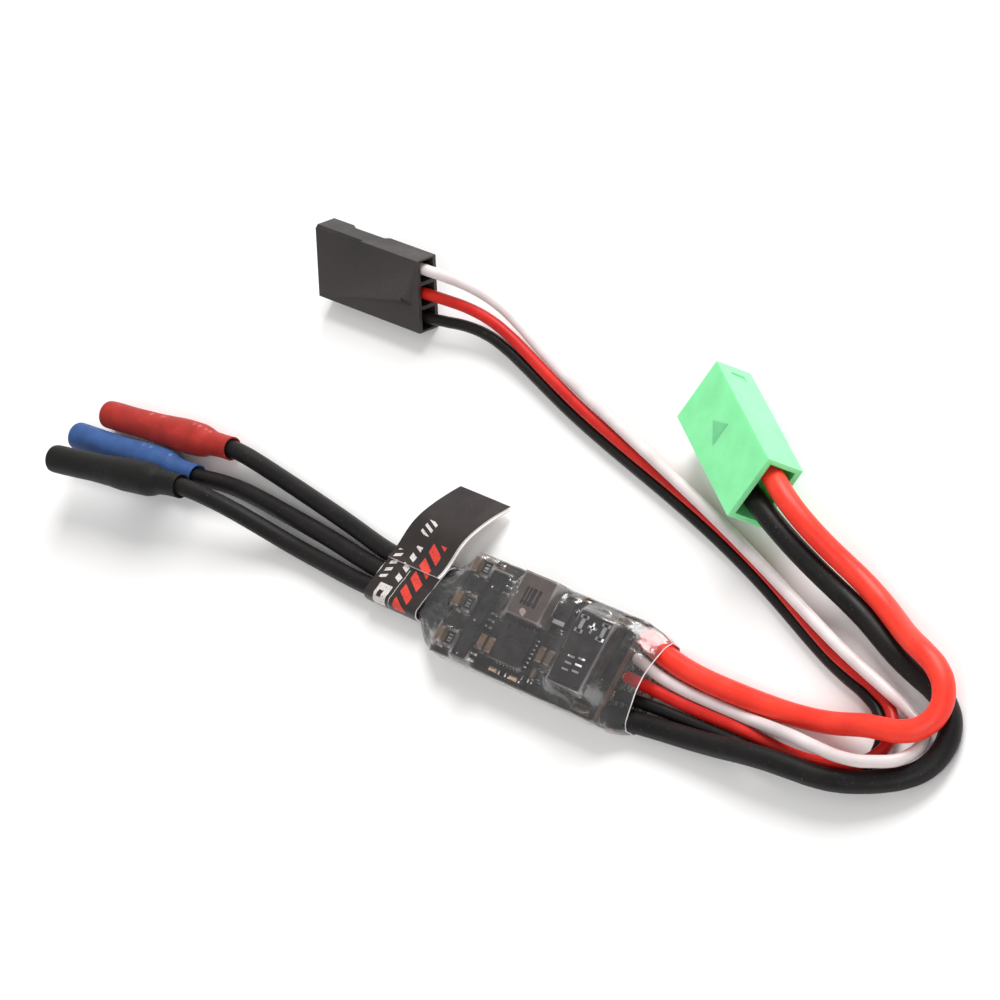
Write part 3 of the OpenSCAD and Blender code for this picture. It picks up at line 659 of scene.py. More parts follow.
def add_inductor():
    low, high, middle = box_mm("power_inductor")
    side = high.y - low.y
    edge = side / 2
    solid = Solid()
    solid.block(middle, (side, side, high.z - low.z), FERRITE, 0.2, 4)
    tab = [(0.1, 0.03), (edge + 0.03, 0.03), (edge + 0.07, 0.08), (edge + 0.07, 0.75), (edge, 0.82)]
    solid.end_tabs((middle.x, middle.y, low.z), (0, 180), tab, 1.6, 0.08, (1.7, 0.4, 0.2), edge + 0.1)
    for offset, width in ((-0.9, 0.26), (-0.45, 0.26), (0.08, 0.46), (0.74, 0.4)):
        solid.mark(middle.x + offset, middle.y - 0.05, high.z + 0.004, width, 1.8, INK_DARK)
    solid.mark(middle.x - 0.05, middle.y - 0.65, high.z + 0.005, 1.9, 0.2, INK_DARK)
    solid.finish("moulded_inductor", "power_inductor")


def add_bulk_capacitor():
    low, high, middle = box_mm("bulk_capacitor")
    width, length = high.x - low.x, 7.1
    end = length / 2
    base = BOARD_TOP + SEAT
    belt = base + 0.95
    solid = Solid()
    solid.block((middle.x, middle.y, (base + 0.13 + belt) / 2), (width, length, belt - base - 0.13 + 0.1),
                TANTALUM, 0.08)
    solid.block((middle.x, middle.y, (belt + high.z) / 2), (width, length, high.z - belt), TANTALUM, 0.14, 4,
                0.955)
    tab = [(end - 0.9, 0.04), (end + 0.04, 0.04), (end + 0.1, 0.1), (end + 0.1, 0.85), (end - 0.02, 0.93)]
    solid.end_tabs((middle.x, middle.y, base), (90, -90), tab, 2.4, 0.1, (2.4, 0.5, 0.22), end + 0.14)
    marks = [(0, 2.3, 1.15, 0.26), (0, 2.3, 0.26, 1.15)]
    for x in (-1.38, 1.38):
        marks += [(x, 2.3, 0.48, 1.7), (x, 3.0, 1.05, 0.36), (x, 1.6, 1.05, 0.36)]
    marks += [(0.6, y, 0.85, 0.2) for y in (-0.7, -1.35, -2.0)]
    marks += [(-0.65, y, 0.85, 0.2) for y in (-0.85, -1.5, -2.15)]
    for x, y, across, along in marks:
        solid.mark(middle.x + x, middle.y + y, high.z + 0.002, across, along, INK_SILVER, 0.014)
    solid.finish("tantalum_capacitor", "bulk_capacitor")


def add_diode():
    _, high, middle = box_mm("rectifier_diode")
    width, length, waist = 1.8, 2.8, BOARD_TOP + 0.5
    solid = Solid()
    solid.block((middle.x, middle.y, BOARD_TOP + 0.32), (width, length, 0.42), EPOXY)
    solid.block((middle.x, middle.y, (waist + high.z) / 2), (width, length, high.z - waist), EPOXY, 0.07, 3,
                0.94)
    foot = [(1.3, 0.3), (1.46, 0.3), (1.54, 0.25), (1.6, 0.1), (1.68, 0.06), (1.88, 0.06)]
    solid.end_tabs((middle.x, middle.y, BOARD_TOP), (90, -90), foot, 0.9, 0.11, (0.95, 0.2, 0.2), 1.82)
    top = high.z + 0.002
    solid.mark(middle.x, middle.y - 0.98, top, 1.5, 0.42, INK_SILVER, 0.014)
    for row, across in enumerate((0.5, 0.75, 0.4, 0.7)):
        solid.mark(middle.x, middle.y - 0.4 + row * 0.45, top, across, 0.11, TRACE_MASK, bevel=0.003)
    solid.finish("schottky_diode", "rectifier_diode")


def add_small_chips():
    solid = Solid()
    for x, y in DECOUPLING_PLACES:
        two_ended_chip(solid, x, y, CHIP_0603, 0.3, True, CAP_BODY, CAP_END)
    solid.finish("decoupling_capacitor_set", "decoupling_capacitors")

    solid = Solid()
    lying = [(-2.4, -4.5), (-1.1, -4.5), (0.3, -4.5), (1.7, -4.1)]
    standing = [(2.2, -3.3), (3.1, -3.3), (-4.6, 0.6), (-4.6, 3.0), (4.0, 0.4)]
    for index, (x, y) in enumerate(lying + standing):
        body, end = ((CAP_BODY, CAP_END), (RESISTOR_TOP, CHIP_END))[index % 2]
        two_ended_chip(solid, x, y, CHIP_0402, 0.2, index >= len(lying), body, end)
    solid.finish("small_chip_set", "small_passives")


def add_transistors():
    solid = Solid()
    top = BOARD_UNDER - SEAT
    thick = 0.85
    face = top - thick - 0.006
    for x, y in [(x, y) for x in (-5.0, 0.6) for y in (3.0, 0.0, -3.0)]:
        solid.block((x, y, top - thick / 2), (4.1, 2.7, thick), EPOXY, 0.07, 3)
        for side, row in [(side, row) for side in (-1, 1) for row in (-0.8, 0, 0.8)]:
            solid.block((x + side * 2.12, y + row, top - 0.11), (0.45, 0.35, 0.2), CHIP_END, 0.04)
            place = Matrix.Translation((x + side * 2.3, y + row, top)) @ Matrix.Rotation(pi, 4, "X")
            solid.add(fillet(0.36, 0.16, 0.2), TIN, place @ facing(side))
        solid.mark(x - 1.4, y + 0.9, face, 0.3, 0.3, INK_SILVER)
        for row in (-0.35, 0.15):
            solid.mark(x + 0.2, y + row, face, 1.6, 0.14, INK_DARK)
    solid.finish("power_transistor_set", "power_transistors")


TRACE_COUNT = 70
TRACE_WIDTH = 0.13
TRACE_EDGE = 0.3
# Middle, and size along X and Y, of each tinned pad on the board's upper face.
PADS = [(-10.05, 4.9, 0.9, 0.35), (-10.05, 3.0, 0.9, 0.3), (-10.05, 1.2, 0.9, 0.3), (-10.05, -0.75, 0.9, 0.3),
        (-10.05, -2.5, 0.9, 0.3), (-10.05, -4.4, 0.9, 0.4), (-7.6, 4.7, 0.7, 0.5), (8.9, -4.45, 2.4, 0.9),
        (6.3, 4.55, 1.6, 0.7), (8.9, 4.55, 2.2, 0.7), (-6.4, -4.8, 1.5, 0.2), (3.4, 4.75, 1.5, 0.35)]


def add_board():
    """The laminate with its rim, exposed pads, traces under the mask and vias."""
    rng = random.Random(11)
    solid = Solid()
    low, high, middle = BOARD_LOW, BOARD_HIGH, BOARD_MIDDLE
    size = high - low
    solid.block(middle, (size.x, size.y, size.z - 0.06), BOARD_EDGE)
    for z in (low.z + 0.02, high.z - 0.02):
        solid.mark(middle.x, middle.y, z, size.x - 0.05, size.y - 0.05, BOARD_MASK, 0.04, 0.01)
    for _ in range(TRACE_COUNT):
        x = rng.uniform(low.x + 0.6, high.x - 0.6)
        y = rng.uniform(low.y + 0.4, high.y - 0.4)
        face = rng.choice((high.z + 0.001, low.z - 0.001))
        for leg in range(rng.randint(2, 4)):
            reach = rng.uniform(0.5, 2.4) * rng.choice((-1, 1))
            across = (leg + rng.randint(0, 1)) % 2
            to_x = min(max(x + (0 if across else reach), low.x + TRACE_EDGE), high.x - TRACE_EDGE)
            to_y = min(max(y + (reach if across else 0), low.y + TRACE_EDGE), high.y - TRACE_EDGE)
            solid.mark((x + to_x) / 2, (y + to_y) / 2, face, abs(to_x - x) + TRACE_WIDTH,
                       abs(to_y - y) + TRACE_WIDTH, TRACE_MASK, 0.03, 0.008)
            x, y = to_x, to_y
        for z in (high.z, low.z):
            rings = ((0.2, -0.02), (0.2, 0.012), (0.12, 0.014), (0.1, -0.01))
            solid.loft([circle(radius, 16, z + rise, (x, y)) for radius, rise in rings], TRACE_MASK)
    for x, y, across, along in PADS:
        solid.mark(x, y, high.z + 0.005, across, along, COPPER_PAD, 0.03, 0.012)
        dome = bmesh.new()
        bmesh.ops.create_uvsphere(dome, u_segments=20, v_segments=10, radius=1.0)
        bmesh.ops.scale(dome, vec=(across * 0.44, along * 0.42, 0.09), verts=dome.verts)
        solid.add(dome, TIN, Matrix.Translation((x, y, high.z + 0.015)))
    solid.finish("circuit_board_laminate", "circuit_board")


# The leads of each group of solder joints, the conductor's radius and its bare length.
JOINTS = {
    "motor_solder_joints": (("motor_lead_a", "motor_lead_b", "motor_lead_c"), 0.6, 2.6),
    "supply_solder_joints": (("battery_lead_positive", "battery_lead_negative"), 0.6, 2.8),
    "signal_solder_joints": (("servo_lead_signal", "servo_lead_positive", "servo_lead_negative"), 0.3, 1.8),
}
STRANDS = 7
MOUND_SIDES = 18


def add_solder_joints():
    """Stripped strands laid on their pads under the board, each held by a mound of solder."""
    rng = random.Random(5)
    for node, (names, radius, length) in JOINTS.items():
        solid = Solid()
        rings = [circle(radius * 0.36, 8, z) for z in (0, length * 0.5, length)]
        for name in names:
            start = Vector(ROUTES[name][0])
            inward = 1 if start.x < 0 else -1
            turn = Matrix.Rotation(pi / 2 * inward, 4, "Y")
            for strand in range(STRANDS):
                angle = strand * pi / 3
                shift = radius * 0.62 * Vector((0, cos(angle), sin(angle)))
                if strand == STRANDS - 1:
                    shift = Vector((0, 0, 0))
                lean = Matrix.Rotation(rng.uniform(-0.03, 0.03), 4, "Y")
                solid.loft(rings, STRAND, matrix=Matrix.Translation(start + shift) @ turn @ lean)
            wide, tall = 1.3 * radius, BOARD_UNDER - start.z + radius * 0.7
            mound = []
            for t in np.linspace(0, 1, 12):
                swell = sin(pi * min(max(t, 0.02), 0.98)) ** 0.5
                x = start.x + inward * (0.4 + t * (length - 0.5))
                ring = []
                for k, a in enumerate(turns(MOUND_SIDES)):
                    bulge = 1 + 0.05 * noise.noise(Vector((x * 2, k, 0.5)))
                    z = BOARD_UNDER - tall * swell * bulge * max(0.0, sin(a)) - 0.01
                    ring.append(Vector((x, start.y + wide * swell * bulge * cos(a), z)))
                mound.append(ring)
            solid.loft(mound, TIN)
        solid.finish(node + "_mounds", node)


add_board()
add_phase_parts()
add_gate_drivers()
add_microcontroller()
add_inductor()
add_bulk_capacitor()
add_diode()
add_small_chips()
add_transistors()
add_solder_joints()


# ---------------------------------------------------------------- clear film

SLEEVE_LOW, SLEEVE_HIGH, _ = box_mm("shrink_sleeve")
NECK_HALF = 2.97
NECK_START = -21.7
NECK_TOP = 2.4
SLANT = 0.25
FILM_GAP = 0.06
FILM_INSET = 0.03
FILM_CORNER = 0.45
FILM_SAG = 0.0012
FILM_START_HEIGHT = 4.7
FILM_RIM_RADIUS = 0.055
RELAX_STEPS = 900
CREASE_ANGLE = 0.6


def film_half_width(x):
    knots = (-14.4, -13.6, -12.8, -12.0, -11.2, 11.4, 12.8, SLEEVE_HIGH.x)
    wide = SLEEVE_HIGH.y
    return float(np.interp(x, knots, (NECK_HALF, 3.4, 4.2, 4.9, wide, wide, 5.05, 4.6)))


def film_slant(x):
    """How far X grows for each millimetre of Y: the neck is cut and drawn a little askew."""
    return np.interp(x, (-14.2, -12.8, -11.3), (SLANT, 0.12, 0.0))


def film_obstacles():
    """The boxes that hold the film up: the ends in X, the ends in Y, and the top of each."""
    boxes = []
    for node in ("microcontroller", "power_inductor", "bulk_capacitor", "rectifier_diode", "circuit_board"):
        low, high, _ = box_mm(node)
        boxes.append((low.x, high.x, low.y, high.y, high.z))
    rows = {"phase_capacitors": CHIP_0603[0], "phase_resistors": CHIP_0805[0], "gate_drivers": DRIVER_LENGTH}
    for node, length in rows.items():
        low, high, _ = box_mm(node)
        for _, y in row_places(node, length):
            boxes.append((low.x, high.x, y - length / 2, y + length / 2, high.z))
    for x, y in DECOUPLING_PLACES:
        boxes.append((x - 0.42, x + 0.42, y - 0.8, y + 0.8, BOARD_TOP + 0.87))
    return boxes


def film_floor(x, y):
    """How high the parts and the leads hold the film over each point of a grid."""
    floor = np.zeros_like(x)
    for x0, x1, y0, y1, top in film_obstacles():
        inside = (x > x0 - 0.1) & (x < x1 + 0.1) & (y > y0 - 0.1) & (y < y1 + 0.1)
        floor = np.where(inside, np.maximum(floor, top + FILM_GAP), floor)
    for name, route in ROUTES.items():
        radius = LEADS[name][0] / 2
        for point in smooth_route(route, 200):
            reach = radius ** 2 - (y - point.y) ** 2 - (x - point.x) ** 2
            lifted = point.z + np.sqrt(np.maximum(reach, 0)) + FILM_GAP
            floor = np.where((reach > 0) & (x <= SLEEVE_HIGH.x), np.maximum(floor, lifted), floor)
    return floor


def film_heights(stations, across, half_widths):
    """A membrane drawn down over the obstacles, relaxed until it only bridges between them."""
    y = half_widths[:, None] * across[None, :]
    x = stations[:, None] + film_slant(stations)[:, None] * y
    floor = film_floor(x, y)
    edge = np.interp(stations, (-14.4, -11.4, -10.9, 10.9, 12.2, 14), (1.35, 2.2, 2.72, 2.72, 1.9, 1.5))
    height = np.full_like(x, FILM_START_HEIGHT)
    step_y = (across[1] - across[0]) * half_widths[:, None]
    weight_x, weight_y = 1 / (stations[1] - stations[0]) ** 2, 1 / step_y ** 2
    for _ in range(RELAX_STEPS):
        height[:, 0] = height[:, -1] = edge
        padded = np.pad(height, ((1, 1), (0, 0)), mode="edge")
        lengthwise = (padded[:-2, 1:-1] + padded[2:, 1:-1]) * weight_x
        widthwise = (height[:, :-2] + height[:, 2:]) * weight_y
        relaxed = (lengthwise + widthwise) / (2 * weight_x + 2 * weight_y) - FILM_SAG
        height[:, 1:-1] = np.maximum(relaxed, floor[:, 1:-1])
    return height


def film_wall(x, side, half, top, bottom):
    """From the film's top edge down one side wall and round its lower corner."""
    foot = bottom + FILM_CORNER
    points = [(half, top + (foot - top) * t) for t in np.linspace(0.12, 1, 8)]
    for a in (radians(30), radians(60), radians(90)):
        points.append((half - FILM_CORNER * (1 - cos(a)), bottom + FILM_CORNER * (1 - sin(a))))
    return [Vector((x, side * y, z)) for y, z in points]


def crinkled(point):
    """Where a point of the smooth film lies once the film has its folds and ripples."""
    fold = noise.noise(Vector((point.x * 0.55, point.y * 0.9, point.z * 1.3 + 7)))
    ripple = noise.noise(Vector((point.x * 1.7, point.y * 1.7, point.z * 2.2)))
    gather = noise.noise(Vector((point.x * 0.5, point.y * 2.4, point.z * 2.0)))
    shoulder = exp(-((point.x + 12.8) / 1.6) ** 2)
    outward = Vector((0, point.y, (point.z - 1.4) * 2)).normalized()
    moved = point + outward * (0.05 * fold + 0.025 * ripple + 0.14 * shoulder * gather - 0.04)
    moved.x += float(film_slant(moved.x)) * moved.y
    moved.y = min(max(moved.y, SLEEVE_LOW.y), SLEEVE_HIGH.y)
    moved.z = max(moved.z, 0.02)
    return moved


def add_film():
    stations = np.linspace(NECK_START, SLEEVE_HIGH.x, 150)
    across = np.linspace(-1, 1, 67)
    halves = np.array([film_half_width(x) for x in stations]) - FILM_INSET
    heights = film_heights(stations, across, halves)
    bottoms = np.interp(stations, (-14.2, -12.2), (0.22, 0.04))
    rings = []
    for x, half, row, bottom in zip(stations, halves, heights, bottoms):
        ring = [Vector((x, half * s, z)) for s, z in zip(across, row)]
        ring += film_wall(x, 1, half, row[-1], bottom)
        ring += [Vector((x, (half - FILM_CORNER) * (1 - 2 * t), bottom)) for t in np.linspace(0.05, 0.95, 26)]
        ring += film_wall(x, -1, half, row[0], bottom)[::-1]
        rings.append([crinkled(point) for point in ring])
    solid = Solid()
    solid.loft(rings, FILM, caps=False)
    for ring in (rings[0], rings[-1]):
        lip = [ring_tube(ring, i, FILM_RIM_RADIUS) for i in range(len(ring))]
        solid.loft(lip + lip[:1], FILM_RIM_HIGHLIGHT, caps=False)
    film = solid.finish("shrink_film", "shrink_sleeve", flat_normals=False)
    mark_creases(film.data)


def ring_tube(ring, i, radius):
    """A small circle square to a closed line of points at its point i."""
    along = (ring[(i + 1) % len(ring)] - ring[i - 1]).normalized()
    side = along.cross(Vector((1, 0, 0))).normalized()
    return [ring[i] + radius * (cos(t) * side + sin(t) * Vector((1, 0, 0))) for t in turns(8)]


def mark_creases(data):
    """Stores how sharply the film bends at each vertex, softened once over the neighbours."""
    shape = bmesh.new()
    shape.from_mesh(data)
    sharp = [max([edge.calc_face_angle(0.0) for edge in vert.link_edges], default=0.0)
             for vert in shape.verts]
    soft = []
    for vert in shape.verts:
        near = [sharp[edge.other_vert(vert).index] for edge in vert.link_edges]
        soft.append(0.5 * sharp[vert.index] + 0.5 * sum(near) / max(len(near), 1))
    shape.free()
    layer = data.attributes.new("crease", "FLOAT", "POINT")
    layer.data.foreach_set("value", [min(value / CREASE_ANGLE, 1.0) for value in soft])


add_film()


# ---------------------------------------------------------------- flag label

LABEL_T = 0.15
LABEL_FOOT = box_mm("flag_label")[0].z
BAND = (-21.5, -14.3)
LAYER_SHIFT = 0.25
FLAG_START = ((1.25, 2.53), (2.1, NECK_TOP))
FLAG_STEPS = ((1.3, 0.15), (1.3, 0.2), (1.2, -0.05), (1.5, -0.45), (1.5, -0.7), (1.5, -0.9))
SLANTED = Matrix(((1, SLANT, 0, 0), (0, 1, 0, 0), (0, 0, 1, 0), (0, 0, 0, 1)))


def rounded_ring(half, low, high, r_low, r_high, inset, x):
    """A rounded box outline in the plane X = x, drawn in by inset."""
    corners = [(half - r_high, high - r_high, r_high, 0), (r_high - half, high - r_high, r_high, 90),
               (r_low - half, low + r_low, r_low, 180), (half - r_low, low + r_low, r_low, 270)]
    points = []
    for y, z, radius, start in corners:
        for a in [radians(start + 15 * k) for k in range(7)]:
            points.append(Vector((x, y + (radius - inset) * cos(a), z + (radius - inset) * sin(a))))
    return points


def wrap_ring(x, inset):
    """The wrap at x: pressed down a little between the three leads, with soft dents."""
    ring = rounded_ring(NECK_HALF + LABEL_T, LABEL_FOOT, NECK_TOP + LABEL_T, 1.05, 1.15, inset, x)
    dense = []
    for a, b in zip(ring, ring[1:] + ring[:1]):
        count = max(1, round((b - a).length / 0.2))
        dense += [a.lerp(b, k / count) for k in range(count)]
    for point in dense:
        top = max(0.0, (point.z - 1.3) / 1.1)
        valley = 0.09 * (1 - abs(sin(pi * point.y / 1.9)) ** 0.5) if abs(point.y) < 2.2 else 0.0
        dent = 0.03 * noise.noise(Vector((x * 0.6, point.y * 0.9, point.z)))
        point.z -= top * max(0.0, valley + dent)
    return dense


def add_label():
    solid = Solid()
    first, last = BAND
    stations = np.linspace(first, last, 40)
    outer, inner = ([wrap_ring(x, inset) for x in stations] for inset in (0.0, LABEL_T * 0.9))
    count = min(len(outer[0]), len(inner[0]))
    outer, inner = ([resample(ring, count) for ring in rings] for rings in (outer, inner))
    solid.loft(outer, LABEL, caps=False)
    solid.loft(inner, LABEL_BACK, caps=False)
    for end in (0, -1):
        solid.loft([outer[end], inner[end]], LABEL_BACK, caps=False)

    line = [(0, y, z) for y, z in FLAG_START]
    for y, z in FLAG_STEPS:
        line.append((0, line[-1][1] + y, line[-1][2] + z))
    line = smooth_route(line, 40)
    sheet(solid, line, first, last - LAYER_SHIFT, 0.16, LABEL, LABEL_BACK)
    sheet(solid, line[:-1], first + LAYER_SHIFT, last, 0.02, LABEL_BACK, LABEL_BACK)
    crease = ((1.32, 2.56), (1.42, 2.6), (1.52, 2.57))
    solid.loft([[Vector((x, y, z + 0.012 * noise.noise(Vector((x, 3, 1))))) for y, z in crease]
                for x in stations], LABEL_BACK)
    label = solid.finish("flag_label_wrap", "flag_label", flat_normals=False)
    lay_out_label(label.data, first)
    label.data.transform(SLANTED)


def sheet(solid, line, x0, x1, lift, upper, lower, thick=0.12):
    """A curved sheet that follows line across, from x0 to x1, with its own upper and lower skins."""
    normals = []
    for i in range(len(line)):
        along = (line[min(i + 1, len(line) - 1)] - line[max(i - 1, 0)]).normalized()
        normals.append(Vector((0, -along.z, along.y)))

    def skin(height):
        rows = []
        for x in np.linspace(x0, x1, 30):
            row = []
            for i, (point, normal) in enumerate(zip(line, normals)):
                wave = 0.035 * (i / len(line)) * noise.noise(Vector((x * 0.4, i * 0.12, 2.0)))
                row.append(Vector((x, point.y, point.z)) + normal * (height + wave))
            rows.append(row)
        return rows

    top, bottom = skin(lift + thick), skin(lift)
    for rows, material in ((top, upper), (bottom, lower)):
        shape = bmesh.new()
        grid = [[shape.verts.new(point) for point in row] for row in rows]
        for near, far in zip(grid, grid[1:]):
            for i in range(len(near) - 1):
                shape.faces.new((near[i], near[i + 1], far[i + 1], far[i]))
        solid.add(shape, material)
    solid.loft([outline(top), outline(bottom)], lower, caps=False)


def outline(rows):
    """The closed edge of a grid of points."""
    last_column = [row[-1] for row in rows[1:-1]]
    first_column = [row[0] for row in rows[1:-1]]
    return rows[0] + last_column + rows[-1][::-1] + first_column[::-1]


def resample(ring, count):
    """The closed ring with count points, spaced evenly."""
    closed = np.array(ring + ring[:1])
    run = run_along(closed)
    return points_at(np.linspace(0, run[-1], count, endpoint=False), run, closed)


def lay_out_label(data, first):
    """Writes the wrap map: U is the way round from the near lower corner over the top and out
    along the flag, V the distance along X, both in millimetres."""
    layer = data.uv_layers.new(name="wrap")
    for loop in data.loops:
        point = data.vertices[loop.vertex_index].co / MM
        layer.data[loop.index].uv = (wrap_length(point), point.x - first)


def wrap_length(point):
    """Roughly how far round the wrap a point lies, from the near side's foot."""
    if point.y > 3.2:
        return 8.2 + (point.y - 3.2) * 1.06
    if point.z > 1.4:
        return 2.0 + (point.y + 3.1)
    return point.z * 1.4 if point.y < 0 else -1.0


add_label()


# ---------------------------------------------------------------- bullet connectors

TUBE_SIDES = 72
TUBE_PROFILE = ((0.0, 1.24), (0.5, 1.22), (1.6, 1.22), (2.6, 1.26), (3.1, 1.34), (3.7, 1.56), (4.5, 1.71),
                (5.6, 1.75), (7.6, 1.74), (8.6, 1.68), (10, 1.56), (11.6, 1.49), (14, 1.47), (17, 1.47),
                (18.2, 1.46), (18.44, 1.42))
TUBE_MOUTH = ((1.38, 18.49), (1.35, 18.48), (1.325, 18.4), (1.32, 17.2))
TUBE_THROAT = ((0.93, 2.4), (0.97, 0.5), (1.04, 0.06), (1.12, 0.0), (1.19, 0.01))


def bullet_matrix(name):
    """Carries +Z to the axis that a motor lead ends with, from the tail of its sleeve."""
    tail, tip = (Vector(point) for point in ROUTES[name][-2:])
    step = tip - tail
    turn = Matrix.Rotation(atan2(step.y, step.x), 4, "Z") @ Matrix.Rotation(pi / 2, 4, "Y")
    return Matrix.Translation(tail) @ turn


def add_bullet_sleeve(letter, material, seed):
    """Shrink tube over a bullet socket: necked tail, swelling over the joint with ring wrinkles."""
    zs, radii = zip(*TUBE_PROFILE)
    rings = []
    for z in np.concatenate((np.linspace(0.0, 17.9, 130), np.linspace(18.0, 18.44, 6))):
        base = float(np.interp(z, zs, radii))
        wrinkle = 0.035 * exp(-((z - 3.4) / 0.9) ** 2) + 0.022 * exp(-((z - 9.4) / 1.3) ** 2)
        ring = []
        for a in turns(TUBE_SIDES):
            def relief(round_scale, z_scale):
                return noise.noise(Vector((cos(a) * round_scale, sin(a) * round_scale, z * z_scale + seed)))

            spot = Vector((cos(a) * 1.1, sin(a) * 1.1, z * 0.5 + seed))
            radius = base + 0.03 * noise.noise(spot * 0.9) - 0.02
            radius += wrinkle * relief(0.8, 2.6) + 0.012 * relief(3.5, 0.35)
            ring.append(Vector((radius * cos(a), radius * sin(a), z)))
        rings.append(ring)
    throat, mouth = ([circle(r, TUBE_SIDES, z) for r, z in rim] for rim in (TUBE_THROAT, TUBE_MOUTH))
    solid = Solid()
    solid.loft(throat + rings + mouth, material, caps=False)
    return solid.finish("bullet_tube_" + letter, "bullet_sleeve_" + letter,
                        bullet_matrix("motor_lead_" + letter), False)


def gild(node):
    """Gives a CAD node that is shown as it is the finish of gold plate."""
    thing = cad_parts[node]
    for material_slot in thing.material_slots:
        material_slot.material = GOLD
    return thing


bullets = {
    "a": add_bullet_sleeve("a", SHRINK_RED, 1.0),
    "b": add_bullet_sleeve("b", SHRINK_BLUE, 21.0),
    "c": add_bullet_sleeve("c", SHRINK_BLACK, 43.0),
}
sockets = {letter: gild("bullet_socket_" + letter) for letter in bullets}


# ---------------------------------------------------------------- plugs

def carved(base, cutters, bevel):
    """The base bmesh less each cutter, in millimetres, with its sharp edges rounded."""
    def temporary(shape):
        data = bpy.data.meshes.new("carving")
        bmesh.ops.recalc_face_normals(shape, faces=shape.faces)
        shape.to_mesh(data)
        shape.free()
        return new_object("carving", data)

    body = temporary(base)
    helpers = [temporary(cutter) for cutter in cutters]
    for helper in helpers:
        cut = body.modifiers.new("cut", "BOOLEAN")
        cut.operation = "DIFFERENCE"
        cut.solver = "EXACT"
        cut.object = helper
    rounding = body.modifiers.new("rounding", "BEVEL")
    rounding.width = bevel
    rounding.segments = 3
    rounding.limit_method = "ANGLE"
    rounding.angle_limit = radians(35)
    rounding.use_clamp_overlap = True
    bpy.context.view_layer.update()
    graph = bpy.context.evaluated_depsgraph_get()
    data = bpy.data.meshes.new_from_object(body.evaluated_get(graph))
    shape = bmesh.new()
    shape.from_mesh(data)
    bpy.data.meshes.remove(data)
    for thing in [body] + helpers:
        leftover = thing.data
        bpy.data.objects.remove(thing)
        bpy.data.meshes.remove(leftover)
    return shape


def cuboid(middle, size):
    shape = bmesh.new()
    bmesh.ops.create_cube(shape, size=1.0)
    bmesh.ops.scale(shape, vec=size, verts=shape.verts)
    bmesh.ops.translate(shape, vec=middle, verts=shape.verts)
    return shape


def ring_about_x(x, y, radius, count):
    """A circle round the line through y that runs along X."""
    return [Vector((x, y, 0)) + Vector((0, radius * cos(t), radius * sin(t))) for t in turns(count)]


def rod(x0, x1, y, radius):
    """A cylinder along X."""
    return loft([ring_about_x(x, y, radius, 40) for x in (x0, x1)])


def prism(points, low, high):
    """A flat outline of X and Y pairs, raised from Z low to Z high."""
    return loft([[Vector((x, y, z)) for x, y in points] for z in (low, high)])


def plug_matrix(place, degrees):
    x, y, z = (radians(angle) for angle in degrees)
    turn = Matrix.Rotation(z, 4, "Z") @ Matrix.Rotation(y, 4, "Y") @ Matrix.Rotation(x, 4, "X")
    return Matrix.Translation(place) @ turn


BATTERY_PLUG = plug_matrix((12.2, 23.4, 4.25), (18, -10, -29.5))
BATTERY_PLUG_SIZE = (15.2, 6.8, 4.0)
CONTACT_ROWS = (-1.6, 1.6)
CONTACT_BORE = 1.31
BORE_MOUTH = 1.5
SERVO_PLUG = plug_matrix((-39.9, 26.5, 3.55), (43, 0, 0))
SERVO_PLUG_SIZE = (15.0, 7.65, 2.54)
SERVO_ROWS = (-2.54, 0, 2.54)


def add_battery_plug():
    length, width, thick = BATTERY_PLUG_SIZE
    end, top = length / 2, thick / 2
    cutters = [cuboid((end - 1.45, 0, 0), (3.9, 5.8, 2.8))]
    for row in CONTACT_ROWS:
        cutters.append(rod(-end - 1, end - 3, row, CONTACT_BORE))
        cutters.append(rod(-end - 0.5, -end + 0.3, row, BORE_MOUTH))
    for face in (-1, 1):
        cutters.append(cuboid((-end + 1.6, face * width / 2, 0), (0.9, 0.25, 1.6)))
    arrow = prism([(-2.6, 0), (-0.4, 1.3), (-0.4, -1.3)], top - 0.2, top + 0.05)
    housing = Solid()
    housing.add(carved(cuboid((0, 0, 0), BATTERY_PLUG_SIZE), cutters, 0.2), NYLON)
    housing.add(carved(arrow, [], 0.03), NYLON)
    return housing.finish("battery_plug_body", "battery_plug_housing", BATTERY_PLUG)


def add_servo_plug():
    length, width, thick = SERVO_PLUG_SIZE
    end, top = length / 2, thick / 2
    cutters = []
    for row in SERVO_ROWS:
        cutters += [cuboid((1.5, row, 0), (14.0, 2.15, 1.7)), cuboid((-end, row, 0), (5.0, 1.1, 1.1)),
                    cuboid((2.2, row, -top), (2.6, 1.5, 1.2))]
    notch = [(-4.5, 0), (-4.1, -0.36), (-3.7, -0.5), (-3.2, -0.46), (-1.5, -0.28), (-0.1, -0.26),
             (0.4, -0.12), (0.9, 0), (0.9, 0.5), (-4.5, 0.5)]
    cutters.append(prism([(x, y + width / 2) for x, y in notch], -top - 0.5, -top + 0.42))
    chamfer = cuboid((0, 0, 0), (13.6, 0.45, 0.45))
    chamfer.transform(Matrix.Translation((-end, width / 2, top)) @ Matrix.Rotation(pi / 4, 4, "X"))
    cutters += [chamfer, cuboid((5.6, -0.9, top), (1.6, 0.5, 0.12))]
    housing = Solid()
    housing.add(carved(cuboid((0, 0, 0), SERVO_PLUG_SIZE), cutters, 0.07), PLUG_BLACK)
    for row in SERVO_ROWS:
        housing.block((2.0, row, -top + 0.2), (2.0, 1.1, 0.24), PLUG_BLACK, 0.06)
    return housing.finish("servo_plug_body", "servo_plug_housing", SERVO_PLUG)


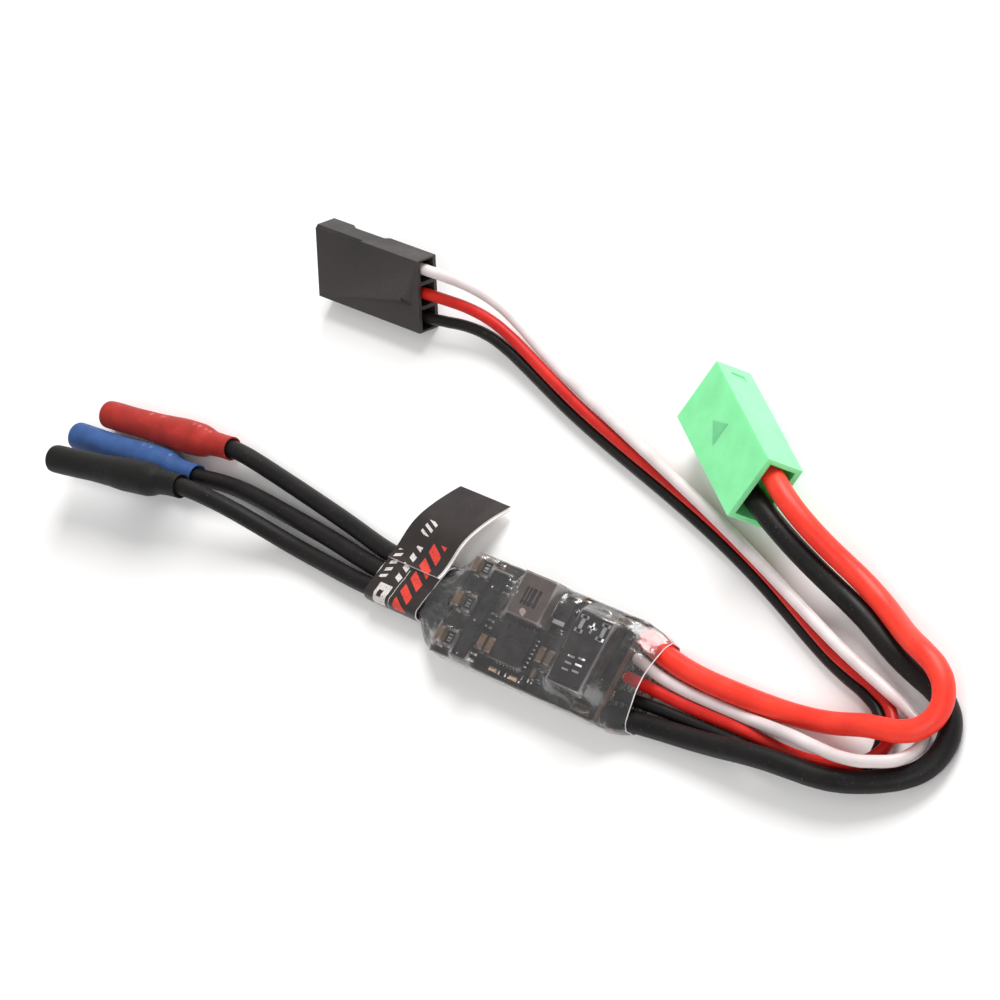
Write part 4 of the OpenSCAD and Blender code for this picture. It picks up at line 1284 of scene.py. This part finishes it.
def add_servo_terminals():
    """A crimped contact in each row: a spring box with its tongue, two wings and a barrel."""
    terminals = Solid()
    start = -SERVO_PLUG_SIZE[0] / 2 + 2.1
    walls = ((0, 0.68, 1.8, 0.12), (0, -0.68, 1.8, 0.12), (0.83, 0, 0.12, 1.4), (-0.83, 0, 0.12, 1.4))
    tongue = [(start + 0.4, 0.5), (start + 2.0, 0.12), (start + 3.4, 0.2), (start + 4.9, 0.55)]
    barrel = ((5.3, 0.5), (5.6, 0.62), (6.6, 0.55), (7.3, 0.66), (9.2, 0.64))
    for row in SERVO_ROWS:
        for y, z, wide, tall in walls:
            terminals.block((start + 2.6, row + y, z), (5.2, wide, tall), GOLD, 0.04)
        terminals.add(strip(tongue, 1.0, 0.09), GOLD, Matrix.Translation((0, row, 0)))
        for z in (-0.28, 0.28):
            terminals.block((start + 6.2, row, z), (2.2, 1.15, 0.2), GOLD, 0.06)
        terminals.loft([ring_about_x(start + x, row, radius, 24) for x, radius in barrel], GOLD)
    return terminals.finish("servo_plug_crimps", "servo_plug_terminals", SERVO_PLUG)


# ---------------------------------------------------------------- plug ends

battery_end = [add_battery_plug(), gild("battery_plug_contacts")]
servo_end = [add_servo_plug(), add_servo_terminals()]


# ---------------------------------------------------------------- floor and light

FLOOR_DROP = 0.02
FLOOR_SIZE = 2.0
WORLD_STRENGTH = 0.5


def add_floor():
    s = Shader("floor")
    s.principled(Base_Color=s.tones(s.noise(40), "f1f0ef", "f6f5f4"),
                 Roughness=s.span(s.noise(12), 0.3, 0.7, 0.55, 0.7), Normal=s.bump(s.noise(1.5), 0.004))
    shape = bmesh.new()
    bmesh.ops.create_grid(shape, x_segments=8, y_segments=8, size=FLOOR_SIZE)
    bmesh.ops.translate(shape, vec=(0, 0, -FLOOR_DROP * MM), verts=shape.verts)
    data = bpy.data.meshes.new("floor")
    shape.to_mesh(data)
    shape.free()
    data.materials.append(s.material)
    new_object("floor", data)


def add_light(name, direction, distance, size, power):
    data = bpy.data.lights.new(name, "AREA")
    data.shape = "DISK"
    data.size = size
    data.energy = power
    away = Vector(direction).normalized()
    turn = away.to_track_quat("Z", "Y").to_matrix().to_4x4()
    new_object(name, data).matrix_world = Matrix.Translation(away * distance) @ turn


def add_surroundings():
    world = bpy.data.worlds.new("studio")
    world.use_nodes = True
    background = world.node_tree.nodes["Background"]
    background.inputs["Color"].default_value = (1, 1, 1, 1)
    background.inputs["Strength"].default_value = WORLD_STRENGTH
    bpy.context.scene.world = world
    bpy.context.scene.view_settings.view_transform = "Standard"


add_floor()
add_surroundings()
add_light("key", (-0.04, 0.79, 0.61), 0.55, 0.35, 3.4)
add_light("fill", (0.6, -0.5, 0.75), 0.6, 0.5, 1.6)
